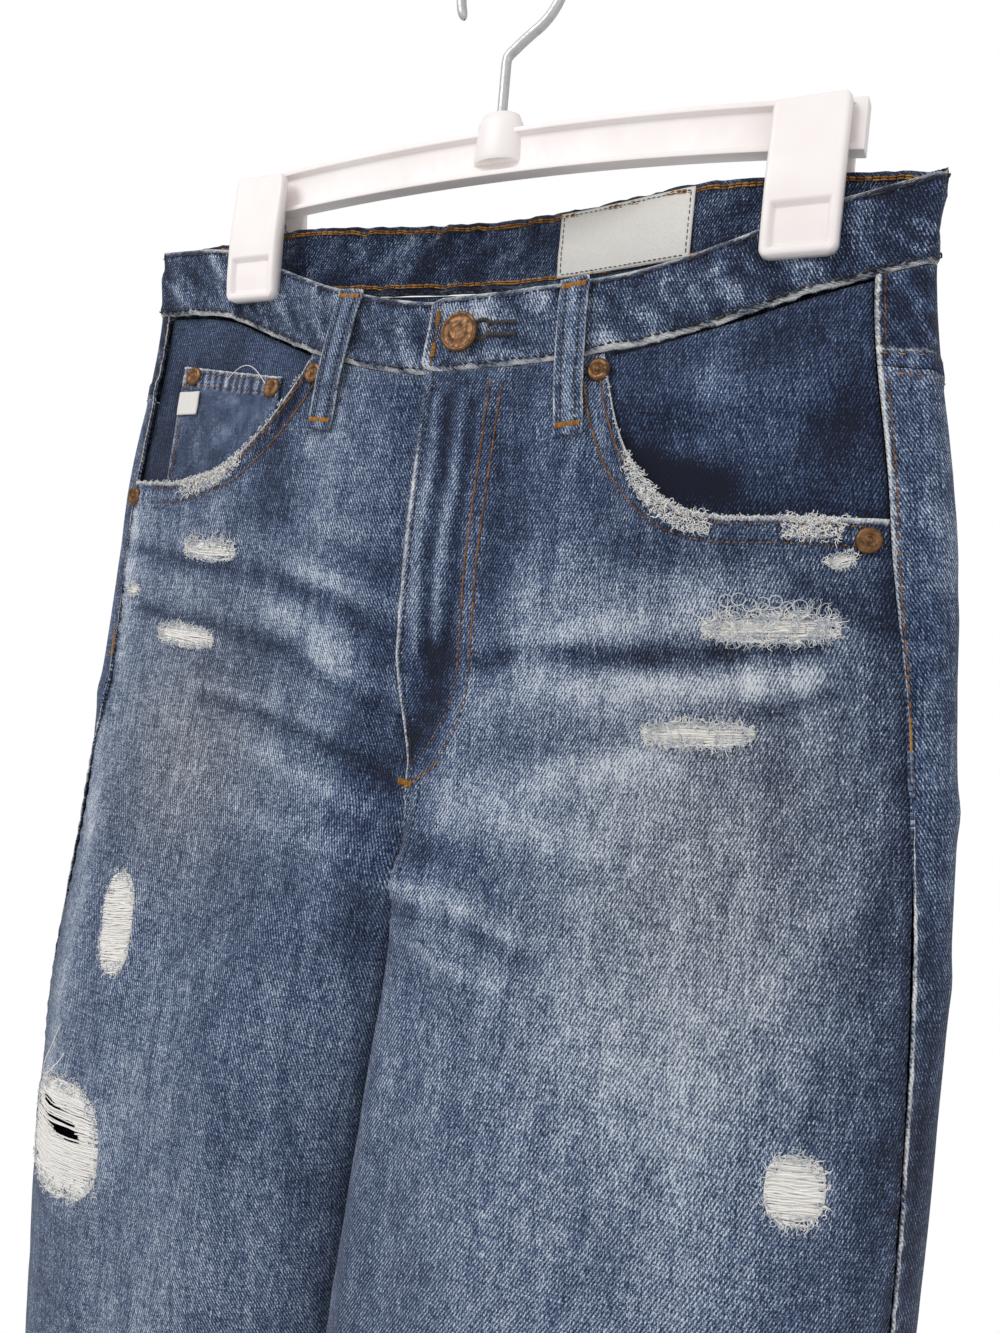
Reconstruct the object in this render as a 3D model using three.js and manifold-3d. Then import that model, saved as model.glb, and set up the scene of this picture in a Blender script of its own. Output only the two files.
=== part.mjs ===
// Ripped jeans on a clip hanger. Millimetres, +Z up, the front faces -Y, the wearer's left is +X.
// The form is drawn with z = 0 at the side of the waist, then moved so the hanger hook's seat is the origin.
import * as THREE from "three";
import { mergeVertices } from "three/addons/utils/BufferGeometryUtils.js";
import Module from "manifold-3d";

const wasm = await Module();
wasm.setup();

// ---------------------------------------------------------------- driving dimensions
const CLOTH = 1.2; // one layer of 14 oz denim
const BAG = 0.8; // pocket bag cotton
const BAND_WALL = 2.4; // the waistband is two layers
const BAND = 34; // waistband height
const GAP = 0.4; // between pieces sewn edge to edge
const CROTCH_Z = -298;
const HEM_Z = -1008;
const LAP_X = -18; // end of the overlapping side of the waistband
const UNDERLAP_X = 14; // end of the side below it
const FLY_EDGE = 13; // the fly edge lies this far past the centre
const LOOP_WIDTH = 13;
const RIVET_R = 5;
const BUTTON_R = 9;
const CLIP_X = [-127.5, 139.5]; // the clips slide on the hanger bar
const CLIP_WIDTH = 30;
const SEAT_Z = 128; // top of the hook's inside, over the side of the waist

// Sections by height z: half width, half depth, radius of the side fold, and the rest of the form.
const HALF = [[12, 194], [-33, 192], [-130, 206], [-215, 213], [-298, 218], [-400, 220], [-560, 214],
  [-760, 204], [-1008, 196]];
const DEEP = [[12, 6], [-33, 7], [-130, 26], [-215, 30], [-298, 36], [-400, 50], [-560, 47], [-760, 40],
  [-1008, 33]];
const FOLD = [[12, 3.8], [-33, 4.4], [-130, 11], [-215, 14], [-298, 18]];
const INNER_LEFT = [[-298, 0.5], [-400, -9], [-500, -19], [-560, -20], [-760, 4], [-1008, 34]];
const INNER_RIGHT = [[-298, 0.5], [-400, 11], [-500, 22], [-560, 28], [-760, 50], [-1008, 66]];
const BOW_FRONT = [[12, 10], [-33, 9], [-130, 2], [-215, 0]];
const BOW_BACK = [[12, 21], [-33, 20], [-130, 18], [-215, 12], [-298, 4], [-400, 0]];
const REACH = [[12, 105], [-33, 110], [-130, 185], [-215, 215], [-298, 218]]; // half width of the bow
const INSET_LEFT = [[12, 20], [-33, 22], [-130, 23], [-215, 15.5], [-298, 12.5], [-400, 9], [-1008, 6]];
const INSET_RIGHT = [[12, 8], [-33, 9], [-130, 13.5], [-215, 15.5], [-298, 11], [-400, 6], [-1008, 4]];
const FORWARD = [[-33, 0], [-298, 2], [-400, 10], [-560, 16], [-760, 16], [-1008, 10]];
const SWAY = [[12, -4], [-33, -3], [-200, 0]];
const CROTCH_FORWARD = 30;
const DIP = [[-200, 0], [-145, -4], [-115, -15], [-70, -31], [-20, -40], [30, -38], [75, -32], [110, -22],
  [150, -10], [200, 0]]; // front waist edge by x
const BACK_RISE = 10; // centre back over the sides
// Pocket mouths by distance from the centre line: the left one, then the right one.
const MOUTH_LEFT = [[71, -70], [74, -79], [79, -94], [85, -107], [93, -118], [103, -127.5], [115, -132.5],
  [150, -133], [195, -132]];
const MOUTH_RIGHT = [[80, -64], [86, -76], [95, -90], [106, -102], [122, -114.5], [140, -121],
  [157, -124], [195, -123]];
const YOKE_SEAM = [[0, -90], [0.5, -84], [1, -75]]; // height by share of the way round the back

const LEFT = 1;
const RIGHT = -1;
const FRONT = true;
const BACK = false;

// ---------------------------------------------------------------- the form
const clamp = (t, a = 0, b = 1) => Math.min(b, Math.max(a, t));
const ease = (t) => {
  const c = clamp(t);
  return c * c * (3 - 2 * c);
};
const lerp = (a, b, t) => a + (b - a) * t;

/** A smooth value from a short table of [key, value] rows. */
function keyed(table, at) {
  const rows = table[0][0] < table[table.length - 1][0] ? table : [...table].reverse();
  const x = clamp(at, rows[0][0], rows[rows.length - 1][0]);
  const slope = (i) => (rows[i + 1][1] - rows[i][1]) / (rows[i + 1][0] - rows[i][0]);
  let i = 0;
  while (i < rows.length - 2 && x > rows[i + 1][0]) i++;
  const tangent = (j) => {
    if (j === 0) return slope(0);
    if (j === rows.length - 1) return slope(j - 1);
    return slope(j - 1) * slope(j) > 0 ? (slope(j - 1) + slope(j)) / 2 : 0;
  };
  const h = rows[i + 1][0] - rows[i][0];
  const t = (x - rows[i][0]) / h;
  const u = 1 - t;
  return (
    (1 + 2 * t) * u * u * rows[i][1] + t * u * u * h * tangent(i) +
    t * t * (3 - 2 * t) * rows[i + 1][1] - t * t * u * h * tangent(i + 1)
  );
}

/** How far inside the side fold a side's seam runs. */
const insetAt = (side, z) => keyed(side > 0 ? INSET_LEFT : INSET_RIGHT, z);

/** Point of the outer surface at height z, w from 0 at the centre or inseam to 1 at the side seam. */
function formPoint(side, front, w, z) {
  const a = keyed(HALF, z);
  const e = keyed(DEEP, z);
  const rho = keyed(FOLD, z);
  const reach = keyed(REACH, z);
  const inset = insetAt(side, z);
  const flat = a - rho;
  const depth = (x, bow) => {
    const t = clamp(x / flat);
    return rho + (e - rho) * (1 - t ** 2.2) + keyed(bow, z) * Math.max(0, 1 - (x / reach) ** 2) ** 1.5;
  };
  let tx, ty;
  if (front) {
    tx = w * (a - inset);
    ty = -depth(tx, BOW_FRONT);
  } else if (w <= 0.8) {
    tx = (w / 0.8) * flat;
    ty = depth(tx, BOW_BACK);
  } else if (w <= 0.94) {
    const th = ((w - 0.8) / 0.14) * Math.PI;
    tx = flat + rho * Math.sin(th);
    ty = rho * Math.cos(th) + lerp(depth(flat, BOW_BACK) - rho, rho - depth(flat, BOW_FRONT), th / Math.PI);
  } else {
    tx = flat - ((w - 0.94) / 0.06) * (inset - rho);
    ty = -depth(tx, BOW_FRONT);
  }
  const inner = keyed(side > 0 ? INNER_LEFT : INNER_RIGHT, Math.min(z, CROTCH_Z));
  const al = (a - inner) / 2;
  const cx = (a + inner) / 2;
  const seam = Math.acos(clamp((a - inset - cx) / al, -1, 1));
  const f = front ? w * (Math.PI - seam) : w < 0.87 ? (w / 0.87) * Math.PI : Math.PI + ((w - 0.87) / 0.13) * seam;
  const lx = cx - al * Math.cos(f);
  const ly = (front ? -1 : 1) * e * Math.sin(f);
  const k = ease((-z - 225) / 73);
  const x = lerp(tx, lx, k);
  let y = lerp(ty, ly, k);
  const fall = Math.exp(-Math.max(0, CROTCH_Z - z) / 140);
  y -= CROTCH_FORWARD * k * clamp(1 - Math.abs(x) / 110) ** 1.5 * fall;
  y -= keyed(FORWARD, z) * (side > 0 ? 1.3 : 0.8);
  return new THREE.Vector3(side * x + keyed(SWAY, z), y, z);
}

/** Point of the front surface above the crotch at x, z. */
function frontAt(x, z) {
  const local = x - keyed(SWAY, z);
  return formPoint(local < 0 ? RIGHT : LEFT, FRONT, Math.abs(local) / (keyed(HALF, z) - insetAt(local, z)), z);
}

const frontTop = (x) => keyed(DIP, x);
const backTop = (x) => BACK_RISE * clamp(1 - (x / 195) ** 2);

/** Height where the column w of a panel meets the edge that height(x) gives. */
function meet(side, front, w, height) {
  let z = -60;
  for (let i = 0; i < 6; i++) z = height(formPoint(side, front, w, z).x);
  return z;
}

// ---------------------------------------------------------------- solids
const group = new THREE.Group();
group.name = "ripped_jeans";
group.position.z = -SEAT_Z;

const FINISH = {
  denim: { color: 0x4a5f7d, roughness: 0.95 },
  facing: { color: 0x33486b, roughness: 0.95 },
  cotton: { color: 0xe9e6dd, roughness: 0.95 },
  copper: { color: 0x9a6a45, roughness: 0.45, metalness: 0.9 },
  brass: { color: 0xa58a52, roughness: 0.45, metalness: 0.9 },
  plastic: { color: 0xe8e2df, roughness: 0.5 },
  steel: { color: 0xb6b8ba, roughness: 0.35, metalness: 0.9 },
};

/** Adds a closed solid, turned to face outwards, as a node. */
function node(name, finish, positions, faces) {
  let volume = 0;
  for (const [a, b, c] of faces) volume += positions[a].dot(positions[b].clone().cross(positions[c]));
  const turned = volume < 0 ? faces.map(([a, b, c]) => [a, c, b]) : faces;
  const geometry = new THREE.BufferGeometry();
  geometry.setAttribute("position", new THREE.Float32BufferAttribute(positions.flatMap((p) => p.toArray()), 3));
  geometry.setIndex(turned.flat());
  return add(name, finish, geometry);
}

function add(name, finish, geometry) {
  geometry.computeVertexNormals();
  const mesh = new THREE.Mesh(geometry, new THREE.MeshStandardMaterial(FINISH[finish]));
  mesh.name = name;
  group.add(mesh);
  return mesh;
}

/** Outward normals of a grid of points; turn is +1 or -1. */
function normals(grid, turn) {
  const rows = grid.length;
  const cols = grid[0].length;
  return grid.map((row, r) =>
    row.map((_, c) => {
      const across = grid[r][Math.min(c + 1, cols - 1)].clone().sub(grid[r][Math.max(c - 1, 0)]);
      const down = grid[Math.min(r + 1, rows - 1)][c].clone().sub(grid[Math.max(r - 1, 0)][c]);
      return across.cross(down).normalize().multiplyScalar(turn);
    }),
  );
}

/** A cloth solid on a grid of outer points, inset(point) mm in from them and `wall` thick. */
function cloth(name, finish, grid, turn, wall = CLOTH, inset = () => 0) {
  const n = normals(grid, turn);
  const rows = grid.length;
  const cols = grid[0].length;
  const positions = [];
  for (const depth of [0, wall])
    grid.forEach((row, r) =>
      row.forEach((p, c) => positions.push(p.clone().addScaledVector(n[r][c], -inset(p) - depth))),
    );
  const id = (layer, r, c) => layer * rows * cols + r * cols + c;
  const faces = [];
  for (let r = 0; r < rows - 1; r++)
    for (let c = 0; c < cols - 1; c++) {
      const [a, b, d, e] = [id(0, r, c), id(0, r, c + 1), id(0, r + 1, c + 1), id(0, r + 1, c)];
      const [f, g, h, i] = [id(1, r, c), id(1, r, c + 1), id(1, r + 1, c + 1), id(1, r + 1, c)];
      faces.push([a, b, d], [a, d, e], [f, h, g], [f, i, h]);
    }
  const rim = [];
  for (let c = 0; c < cols - 1; c++) rim.push([0, c]);
  for (let r = 0; r < rows - 1; r++) rim.push([r, cols - 1]);
  for (let c = cols - 1; c > 0; c--) rim.push([rows - 1, c]);
  for (let r = rows - 1; r > 0; r--) rim.push([r, 0]);
  rim.forEach(([r, c], i) => {
    const [r2, c2] = rim[(i + 1) % rim.length];
    const [a, b, d, e] = [id(0, r, c), id(0, r2, c2), id(1, r2, c2), id(1, r, c)];
    faces.push([a, d, b], [a, e, d]);
  });
  return node(name, finish, positions, faces);
}

const range = (n, a, b) => Array.from({ length: n }, (_, i) => lerp(a, b, i / (n - 1)));

// ---------------------------------------------------------------- fronts
const LOWER_ROWS = [-225, -246, -264, -278, -290, -302, -322, -352, -392, -440, -500, -570, -660, -760, -880, HEM_Z];
const lap = (z) => ease((z + 285) / 30);
const lapped = (z) => clamp((lap(z) - 0.3) / 0.7);
const flyX = (z) => GAP - (FLY_EDGE + GAP) * lapped(z) * clamp(lerp(1, 0.15, (-z - 200) / 46), 0.15, 1);
const underX = (z) => GAP - (flyX(z) + 7 + GAP) * lapped(z); // the right front ends 7 mm past the fly edge

function frontPanel(name, side, columns, mouth) {
  const edge = (x) => {
    const d = Math.abs(x - SWAY[0][1]);
    const seam = frontTop(x) - BAND - GAP;
    return d < mouth[0][0] ? seam : Math.min(seam, keyed(mouth, d));
  };
  const start = (z) => {
    const width = keyed(HALF, z) - insetAt(side, z);
    return z < CROTCH_Z ? 0.006 : (side > 0 ? flyX(z) : underX(z)) / width;
  };
  const place = (w, z) => {
    const first = z > CROTCH_Z - 12 ? lerp(0.006, start(Math.max(z, CROTCH_Z)), ease((z + 302) / 14)) : 0.006;
    return formPoint(side, FRONT, lerp(first, 0.9955, w), z);
  };
  const tops = columns.map((w) => {
    let z = -80;
    for (let i = 0; i < 8; i++) z = edge(place(w, z).x);
    return z;
  });
  const grid = [
    ...range(7, 0, 1).slice(0, -1).map((t) => columns.map((w, c) => place(w, lerp(tops[c], LOWER_ROWS[0], t)))),
    ...LOWER_ROWS.map((z) => columns.map((w) => place(w, z))),
  ];
  const tuck = (p) => (side > 0 ? 0 : 3.2 * Math.min(1, lap(p.z) / 0.3) * ease((p.x + 30) / 12));
  cloth(name, "denim", grid, -side, CLOTH, tuck);
}
frontPanel("front_left", LEFT,
  [0, 0.07, 0.15, 0.23, 0.31, 0.38, 0.43, 0.448, 0.47, 0.5, 0.54, 0.6, 0.68, 0.78, 0.89, 1], MOUTH_LEFT);
frontPanel("front_right", RIGHT,
  [0, 0.05, 0.12, 0.2, 0.28, 0.35, 0.41, 0.435, 0.465, 0.51, 0.56, 0.63, 0.71, 0.8, 0.9, 1], MOUTH_RIGHT);

// ---------------------------------------------------------------- backs and yokes
const BACK_COLUMNS = [0.003, 0.11, 0.22, 0.33, 0.44, 0.55, 0.66, 0.74, 0.8, 0.835, 0.87, 0.905, 0.94, 0.9955];
for (const [side, word] of [[LEFT, "left"], [RIGHT, "right"]]) {
  const seam = (w) => keyed(YOKE_SEAM, w);
  const inseam = (w, z) => (w < 0.01 && z < CROTCH_Z + 10 ? 0.006 : w);
  const top = BACK_COLUMNS.map((w) =>
    meet(side, BACK, w, (x) => (w > 0.87 ? frontTop(x) : backTop(x)) - BAND - GAP),
  );
  cloth(`yoke_${word}`, "denim",
    range(4, 0, 1).map((t) => BACK_COLUMNS.map((w, c) => formPoint(side, BACK, w, lerp(top[c], seam(w), t)))),
    side);
  const rows = [
    ...range(5, 0, 1).slice(0, -1).map((t) =>
      BACK_COLUMNS.map((w) => formPoint(side, BACK, w, lerp(seam(w) - GAP, LOWER_ROWS[0], t)))),
    ...LOWER_ROWS.map((z) => BACK_COLUMNS.map((w) => formPoint(side, BACK, inseam(w, z), z))),
  ];
  cloth(`back_${word}`, "denim", rows, side);
}

// ---------------------------------------------------------------- waistband, one strip that laps over itself
const band = [];
const bandHeights = [0, 0.5, 1];
{
  const alongFront = (x) => bandHeights.map((v) => {
    const top = frontTop(x);
    return frontAt(x, top - v * BAND);
  });
  const alongBack = (side, w) => bandHeights.map((v) => {
    const top = meet(side, BACK, w, (x) => (w > 0.87 ? frontTop(x) : backTop(x)));
    return formPoint(side, BACK, w, top - v * BAND);
  });
  const around = [1, 0.94, 0.905, 0.87, 0.835, 0.8, 0.7, 0.6, 0.5, 0.4, 0.3, 0.2, 0.1];
  for (const x of [UNDERLAP_X, 0, -12, -20, -30, -42, -58, -76, -95, -115, -135, -155]) band.push(alongFront(x));
  for (const w of around) band.push(alongBack(RIGHT, w));
  band.push(alongBack(LEFT, 0));
  for (const w of [...around].reverse()) band.push(alongBack(LEFT, w));
  for (const x of [153, 135, 115, 95, 76, 58, 42, 28, 14, 0, -9, LAP_X]) band.push(alongFront(x));
}
const bandGrid = bandHeights.map((_, r) => band.map((column) => column[r]));
{
  // The first columns pass below the last ones.
  const under = [3.4, 3.4, 3.4, 3.0, 1.4, 0.2];
  const n = normals(bandGrid, 1);
  bandGrid.forEach((row, r) => row.forEach((p, c) => p.addScaledVector(n[r][c], 0.6 - (under[c] ?? 0))));
}
cloth("waistband", "denim", bandGrid, 1, BAND_WALL);

// ---------------------------------------------------------------- fly: facing, shield, zip and slider
function frontPatch(name, finish, xs, zs, inset, wall = CLOTH) {
  const grid = zs.map((_, r) => xs.map((x, c) => {
    const px = typeof x === "function" ? x(zs[r]) : x;
    return frontAt(px, typeof zs[r] === "function" ? zs[r](px, c) : zs[r]);
  }));
  return cloth(name, finish, grid, -1, wall, typeof inset === "function" ? inset : () => inset);
}
const underBand = (x) => frontTop(x) - BAND - 1;
const down = (depth) => () => depth;
const facingRows = [underBand, ...range(6, -100, -225).map((z) => () => z)];
frontPatch("fly_facing", "facing", [-11.5, -4, 4, 12, 20, 26], facingRows, 1.6);
frontPatch("fly_shield", "facing", [-20, -10, 0, 10, 20, 32], facingRows, 6.8);
frontPatch("zip_tape", "cotton", [-3.5, 2, 8, 13], [down(-80), ...range(5, -105, -196).map((z) => () => z)], 3.2);
frontPatch("zip_slider", "brass", [0, 4, 8], [down(-84), down(-90), down(-97)], 4.8, 1.6);

// ---------------------------------------------------------------- pocket facings, bags and the coin pocket
const facingColumns = (from) => [from, ...range(8, from + 0.08, 0.985)];
for (const [side, word, mouth] of [[LEFT, "left", MOUTH_LEFT], [RIGHT, "right", MOUTH_RIGHT]]) {
  const columns = facingColumns(side > 0 ? 0.34 : 0.37);
  const floor = side > 0 ? -152 : -144;
  const tops = columns.map((w) => meet(side, FRONT, w, underBand));
  const sag = (p) => {
    const d = Math.abs(p.x + 4);
    const open = ease((d - mouth[0][0]) / 30) * ease((160 - d) / 40) * ease((-p.z - 75) / 40);
    return side > 0 ? 1.7 + 2.6 * open : 3.0 + 0.6 * open;
  };
  cloth(`pocket_facing_${word}`, "facing",
    range(7, 0, 1).map((t) => columns.map((w, c) => formPoint(side, FRONT, w, lerp(tops[c], floor, t)))),
    -side, CLOTH, sag);
  const bagColumns = range(7, side > 0 ? 0.33 : 0.36, 0.9);
  cloth(`pocket_bag_${word}`, "cotton",
    range(5, -118, -222).map((z) => bagColumns.map((w) => formPoint(side, FRONT, w, z))),
    -side, BAG, (p) => (side > 0 ? 6.0 : 5.4) + 0 * p.x);
}
const coinTop = (x) => lerp(-71, -62, clamp((-x - 102) / 68));
frontPatch("coin_pocket", "denim", range(7, -172, -102), [
  ...range(6, 0, 1).map((t) => (x) => lerp(coinTop(x), -140, t)),
], 1.75, 1.0);
frontPatch("coin_pocket_tab", "cotton", [-171, -164, -157], [(x) => -76 + 0 * x, () => -82, () => -88], 0.45, 0.7);

// ---------------------------------------------------------------- back pockets
for (const [side, word] of [[LEFT, "left"], [RIGHT, "right"]]) {
  const grid = range(6, 0, 1).map((t) =>
    range(7, 0.3, 0.7).map((w) => {
      const middle = 1 - Math.abs(w - 0.5) / 0.2;
      const z = lerp(-104 + 4 * (w - 0.5), -232 - 16 * middle, t);
      return formPoint(side, BACK, lerp(w, 0.5 + (w - 0.5) * 0.9, t), z);
    }),
  );
  cloth(`back_pocket_${word}`, "denim", grid, side, CLOTH, () => -(CLOTH + 0.5));
}

// ---------------------------------------------------------------- belt loops and inside label
/** A strip that stands off the band in the middle: path(t) is the point and out(t) the direction. */
function beltLoop(name, path, out, bulge) {
  const steps = range(9, 0, 1);
  const grid = steps.map((t) => {
    const p = path(t);
    const n = out(t);
    const along = path(Math.min(1, t + 0.01)).sub(path(Math.max(0, t - 0.01))).normalize();
    const across = along.clone().cross(n).normalize().multiplyScalar(LOOP_WIDTH / 2);
    const lift = 3.3 + bulge * Math.sin(Math.PI * clamp((t - 0.04) / 0.8)) ** 0.7;
    const middle = p.addScaledVector(n, lift);
    return [middle.clone().sub(across), middle.clone(), middle.clone().add(across)];
  });
  const flip = Math.sign(normals(grid, 1)[4][1].dot(out(0.5)));
  cloth(name, "denim", grid, flip, 1.8);
}
const outFront = () => new THREE.Vector3(0, -1, 0);
const frontLoop = (top, foot) => (t) => {
  const x = lerp(top, foot, t);
  return frontAt(x, lerp(frontTop(x) + 0.5, frontTop(x) - 68, t));
};
beltLoop("belt_loop_front_right", frontLoop(-64, -69), outFront, 2.2);
beltLoop("belt_loop_front_left", frontLoop(50, 57), outFront, 2.2);
const backLoop = (side, w) => (t) => {
  const top = meet(side, BACK, w, backTop);
  return formPoint(side, BACK, w, lerp(top + 0.5, top - 67, t));
};
beltLoop("belt_loop_back_centre", backLoop(LEFT, 0.001), () => new THREE.Vector3(0, 1, 0), 2.2);
for (const [side, word] of [[LEFT, "left"], [RIGHT, "right"]])
  beltLoop(`belt_loop_side_${word}`, backLoop(side, 0.735), () => new THREE.Vector3(side * 0.06, 1, 0).normalize(), 2.2);

{
  const grid = range(4, -1.5, -31).map((dz) =>
    range(5, 24, 92).map((x) => {
      const w = ((x + 4) / (keyed(HALF, -10) - keyed(FOLD, -10))) * 0.8;
      return formPoint(LEFT, BACK, w, backTop(x) + dz);
    }),
  );
  cloth("waist_label", "cotton", grid, 1, 0.6, () => BAND_WALL - 0.6 + 0.4);
}

// ---------------------------------------------------------------- metal: button and rivets
/** A closed round piece turned about +Y, placed with its axis along n. */
function turned(name, finish, profile, at, n, segments = 20) {
  const geometry = new THREE.LatheGeometry(profile.map(([r, h]) => new THREE.Vector2(r, h)), segments);
  geometry.deleteAttribute("uv");
  geometry.deleteAttribute("normal");
  const closed = mergeVertices(geometry, 1e-4);
  closed.applyQuaternion(new THREE.Quaternion().setFromUnitVectors(new THREE.Vector3(0, 1, 0), n));
  closed.translate(at.x, at.y, at.z);
  return add(name, finish, closed);
}
function frontNormal(x, z) {
  const across = frontAt(x + 3, z).sub(frontAt(x - 3, z));
  const downward = frontAt(x, z - 3).sub(frontAt(x, z + 3));
  return across.cross(downward).normalize().negate();
}
const RIVET = [[0, 0], [RIVET_R, 0], [RIVET_R, 0.5], [4.3, 1.2], [2.2, 1.3], [1.9, 0.8], [1.1, 0.8], [0.9, 1.6], [0, 1.6]];
const BUTTON = [[0, 0], [4, 0], [4, 2], [8.2, 2], [BUTTON_R, 2.7], [BUTTON_R, 3.5], [8.2, 4.2], [7.4, 3.9], [0, 4.1]];
const stud = (name, x, z, lift) => {
  const n = frontNormal(x, z);
  turned(name, "copper", RIVET, frontAt(x, z).addScaledVector(n, lift), n, 18);
};
stud("rivet_left_mouth", 65.5, -75.5, 0.5);
stud("rivet_left_side", 176.5, -140.5, 0.6);
stud("rivet_right_mouth", -79.5, -71.5, 0.5);
stud("rivet_right_side", -193.5, -131, 0.6);
stud("rivet_coin_outer", -163.5, -67.5, -1.1);
stud("rivet_coin_inner", -107, -76.5, -1.1);
{
  const n = frontNormal(0, -58);
  turned("waist_button", "copper", BUTTON, frontAt(0.5, -58).addScaledVector(n, 1.1), n, 28);
}

// ---------------------------------------------------------------- hanger
const solid = (geometry) => {
  const g = geometry.index ? geometry.toNonIndexed() : geometry.clone();
  const merged = mergeVertices(new THREE.BufferGeometry().setAttribute("position", g.getAttribute("position")), 1e-3);
  return new wasm.Manifold(
    new wasm.Mesh({
      numProp: 3,
      vertProperties: merged.attributes.position.array,
      triVerts: new Uint32Array(merged.index.array),
    }),
  );
};
const box = (x0, x1, y0, y1, z0, z1) => wasm.Manifold.cube([x1 - x0, y1 - y0, z1 - z0], false).translate([x0, y0, z0]);
function addSolid(name, finish, made) {
  const mesh = made.getMesh();
  const geometry = new THREE.BufferGeometry();
  geometry.setAttribute("position", new THREE.Float32BufferAttribute(mesh.vertProperties, 3));
  geometry.setIndex([...mesh.triVerts]);
  return add(name, finish, geometry);
}

/** An outline in X and Z extruded through Y. */
function plate(outline, y0, y1) {
  const shape = new THREE.Shape(outline.map(([x, z]) => new THREE.Vector2(x, z)));
  const geometry = new THREE.ExtrudeGeometry(shape, { depth: y1 - y0, bevelEnabled: false });
  geometry.rotateX(Math.PI / 2);
  geometry.translate(0, y1, 0);
  return solid(geometry);
}

const BAR_HALF = 4;
const arch = (x) => 10 + 8 * (1 - (x / 150) ** 2);
{
  const [x0, x1] = [CLIP_X[0] - 20, CLIP_X[1] + 20];
  const xs = range(17, x0, x1);
  const outline = [...xs.map((x) => [x, arch(x)]), ...[...xs].reverse().map((x) => [x, arch(x) + 20])];
  const boss = box(-12, 12, -7, 7, 24, 46);
  const web = plate(outline, -BAR_HALF, BAR_HALF);
  addSolid("hanger_bar", "plastic", web.add(boss).subtract(box(-2.7, 2.7, -2.7, 2.7, 30, 50)));
}
{
  // The neck stands in the boss, and the hook turns over the rail.
  const R = 24;
  const wire = 2.3;
  const points = [new THREE.Vector3(0, 0, 30.4), new THREE.Vector3(0, 0, 72)];
  const centre = SEAT_Z - R + 0;
  for (const a of range(15, -62, 205)) {
    const t = (a * Math.PI) / 180;
    points.push(new THREE.Vector3(-(R + wire) * Math.cos(t) * -1, 0, centre + (R + wire) * Math.sin(t)));
  }
  const neck = points.slice(0, 2);
  const curve = points.slice(2);
  const lead = curve[0];
  neck.push(new THREE.Vector3(lead.x * 0.45, 0, lerp(72, lead.z, 0.42)));
  const path = [...neck, ...curve];
  const sides = 12;
  const positions = [];
  path.forEach((p, i) => {
    const along = path[Math.min(i + 1, path.length - 1)].clone().sub(path[Math.max(i - 1, 0)]).normalize();
    const u = new THREE.Vector3(0, 1, 0);
    const v = u.clone().cross(along);
    for (let k = 0; k < sides; k++) {
      const t = (2 * Math.PI * k) / sides;
      positions.push(p.clone().addScaledVector(u, wire * Math.cos(t)).addScaledVector(v, wire * Math.sin(t)));
    }
  });
  const faces = [];
  for (let i = 0; i < path.length - 1; i++)
    for (let k = 0; k < sides; k++) {
      const [a, b] = [i * sides + k, i * sides + ((k + 1) % sides)];
      faces.push([a, b, b + sides], [a, b + sides, a + sides]);
    }
  const last = (path.length - 1) * sides;
  for (let k = 1; k < sides - 1; k++) faces.push([0, k + 1, k], [last, last + k, last + k + 1]);
  node("hanger_hook", "steel", positions, faces);
}

CLIP_X.forEach((x, i) => {
  const word = i ? "left" : "right";
  const [x0, x1] = [x - CLIP_WIDTH / 2, x + CLIP_WIDTH / 2];
  const face = 7.2; // the jaws close on both walls of the waistband
  const outer = face + 6;
  const rest = backTop(Math.abs(x) - 10) + 1;
  const recess = box(x0 + 4, x1 - 4, -outer - 1, -outer + 2.5, -28, -12);
  addSolid(`clip_${word}_front`, "plastic", box(x0, x1, -outer, -face, -32, 30).subtract(recess));
  addSolid(`clip_${word}_back`, "plastic", box(x0, x1, face, outer, -32, 30));
  addSolid(`clip_${word}_pivot`, "steel",
    box(x0 + 5, x1 - 5, -face + 0.3, face - 0.3, rest, Math.min(arch(x0 + 5), arch(x1 - 5)) - 0.4));
});

export default group;
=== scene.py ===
"""Ripped blue jeans hung by the waistband from a clip hanger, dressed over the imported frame."""

from __future__ import annotations

import logging
import math
from dataclasses import dataclass, field
from enum import Enum

import bmesh
import bpy
import numpy as np
from mathutils import Matrix, Vector

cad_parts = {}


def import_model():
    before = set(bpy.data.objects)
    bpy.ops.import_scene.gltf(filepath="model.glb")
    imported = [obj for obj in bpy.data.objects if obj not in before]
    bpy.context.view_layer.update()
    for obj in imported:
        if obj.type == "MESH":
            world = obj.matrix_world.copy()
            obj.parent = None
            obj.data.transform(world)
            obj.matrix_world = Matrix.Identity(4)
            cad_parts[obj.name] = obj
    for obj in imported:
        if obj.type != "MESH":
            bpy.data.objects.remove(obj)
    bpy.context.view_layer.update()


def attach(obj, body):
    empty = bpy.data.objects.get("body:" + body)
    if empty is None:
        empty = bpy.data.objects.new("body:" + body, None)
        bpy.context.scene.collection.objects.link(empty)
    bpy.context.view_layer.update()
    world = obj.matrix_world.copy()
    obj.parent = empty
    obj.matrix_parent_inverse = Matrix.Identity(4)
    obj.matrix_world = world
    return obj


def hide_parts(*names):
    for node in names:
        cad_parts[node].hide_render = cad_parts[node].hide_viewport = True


LOG = logging.getLogger("jeans")
MM = 0.001
SEAT_Z = 128.0  # the hook's seat over the side of the waist, mm
Table = tuple[tuple[float, float], ...]
Array = np.ndarray
Piece = bpy.types.Object
Socket = bpy.types.NodeSocket
Profile = tuple[tuple[float, float], ...]  # radius and height of each ring


class Side(Enum):
    """The wearer's sides; the value is the sign of X."""

    LEFT = 1
    RIGHT = -1


# ------------------------------------------------------------------ numbers


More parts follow.
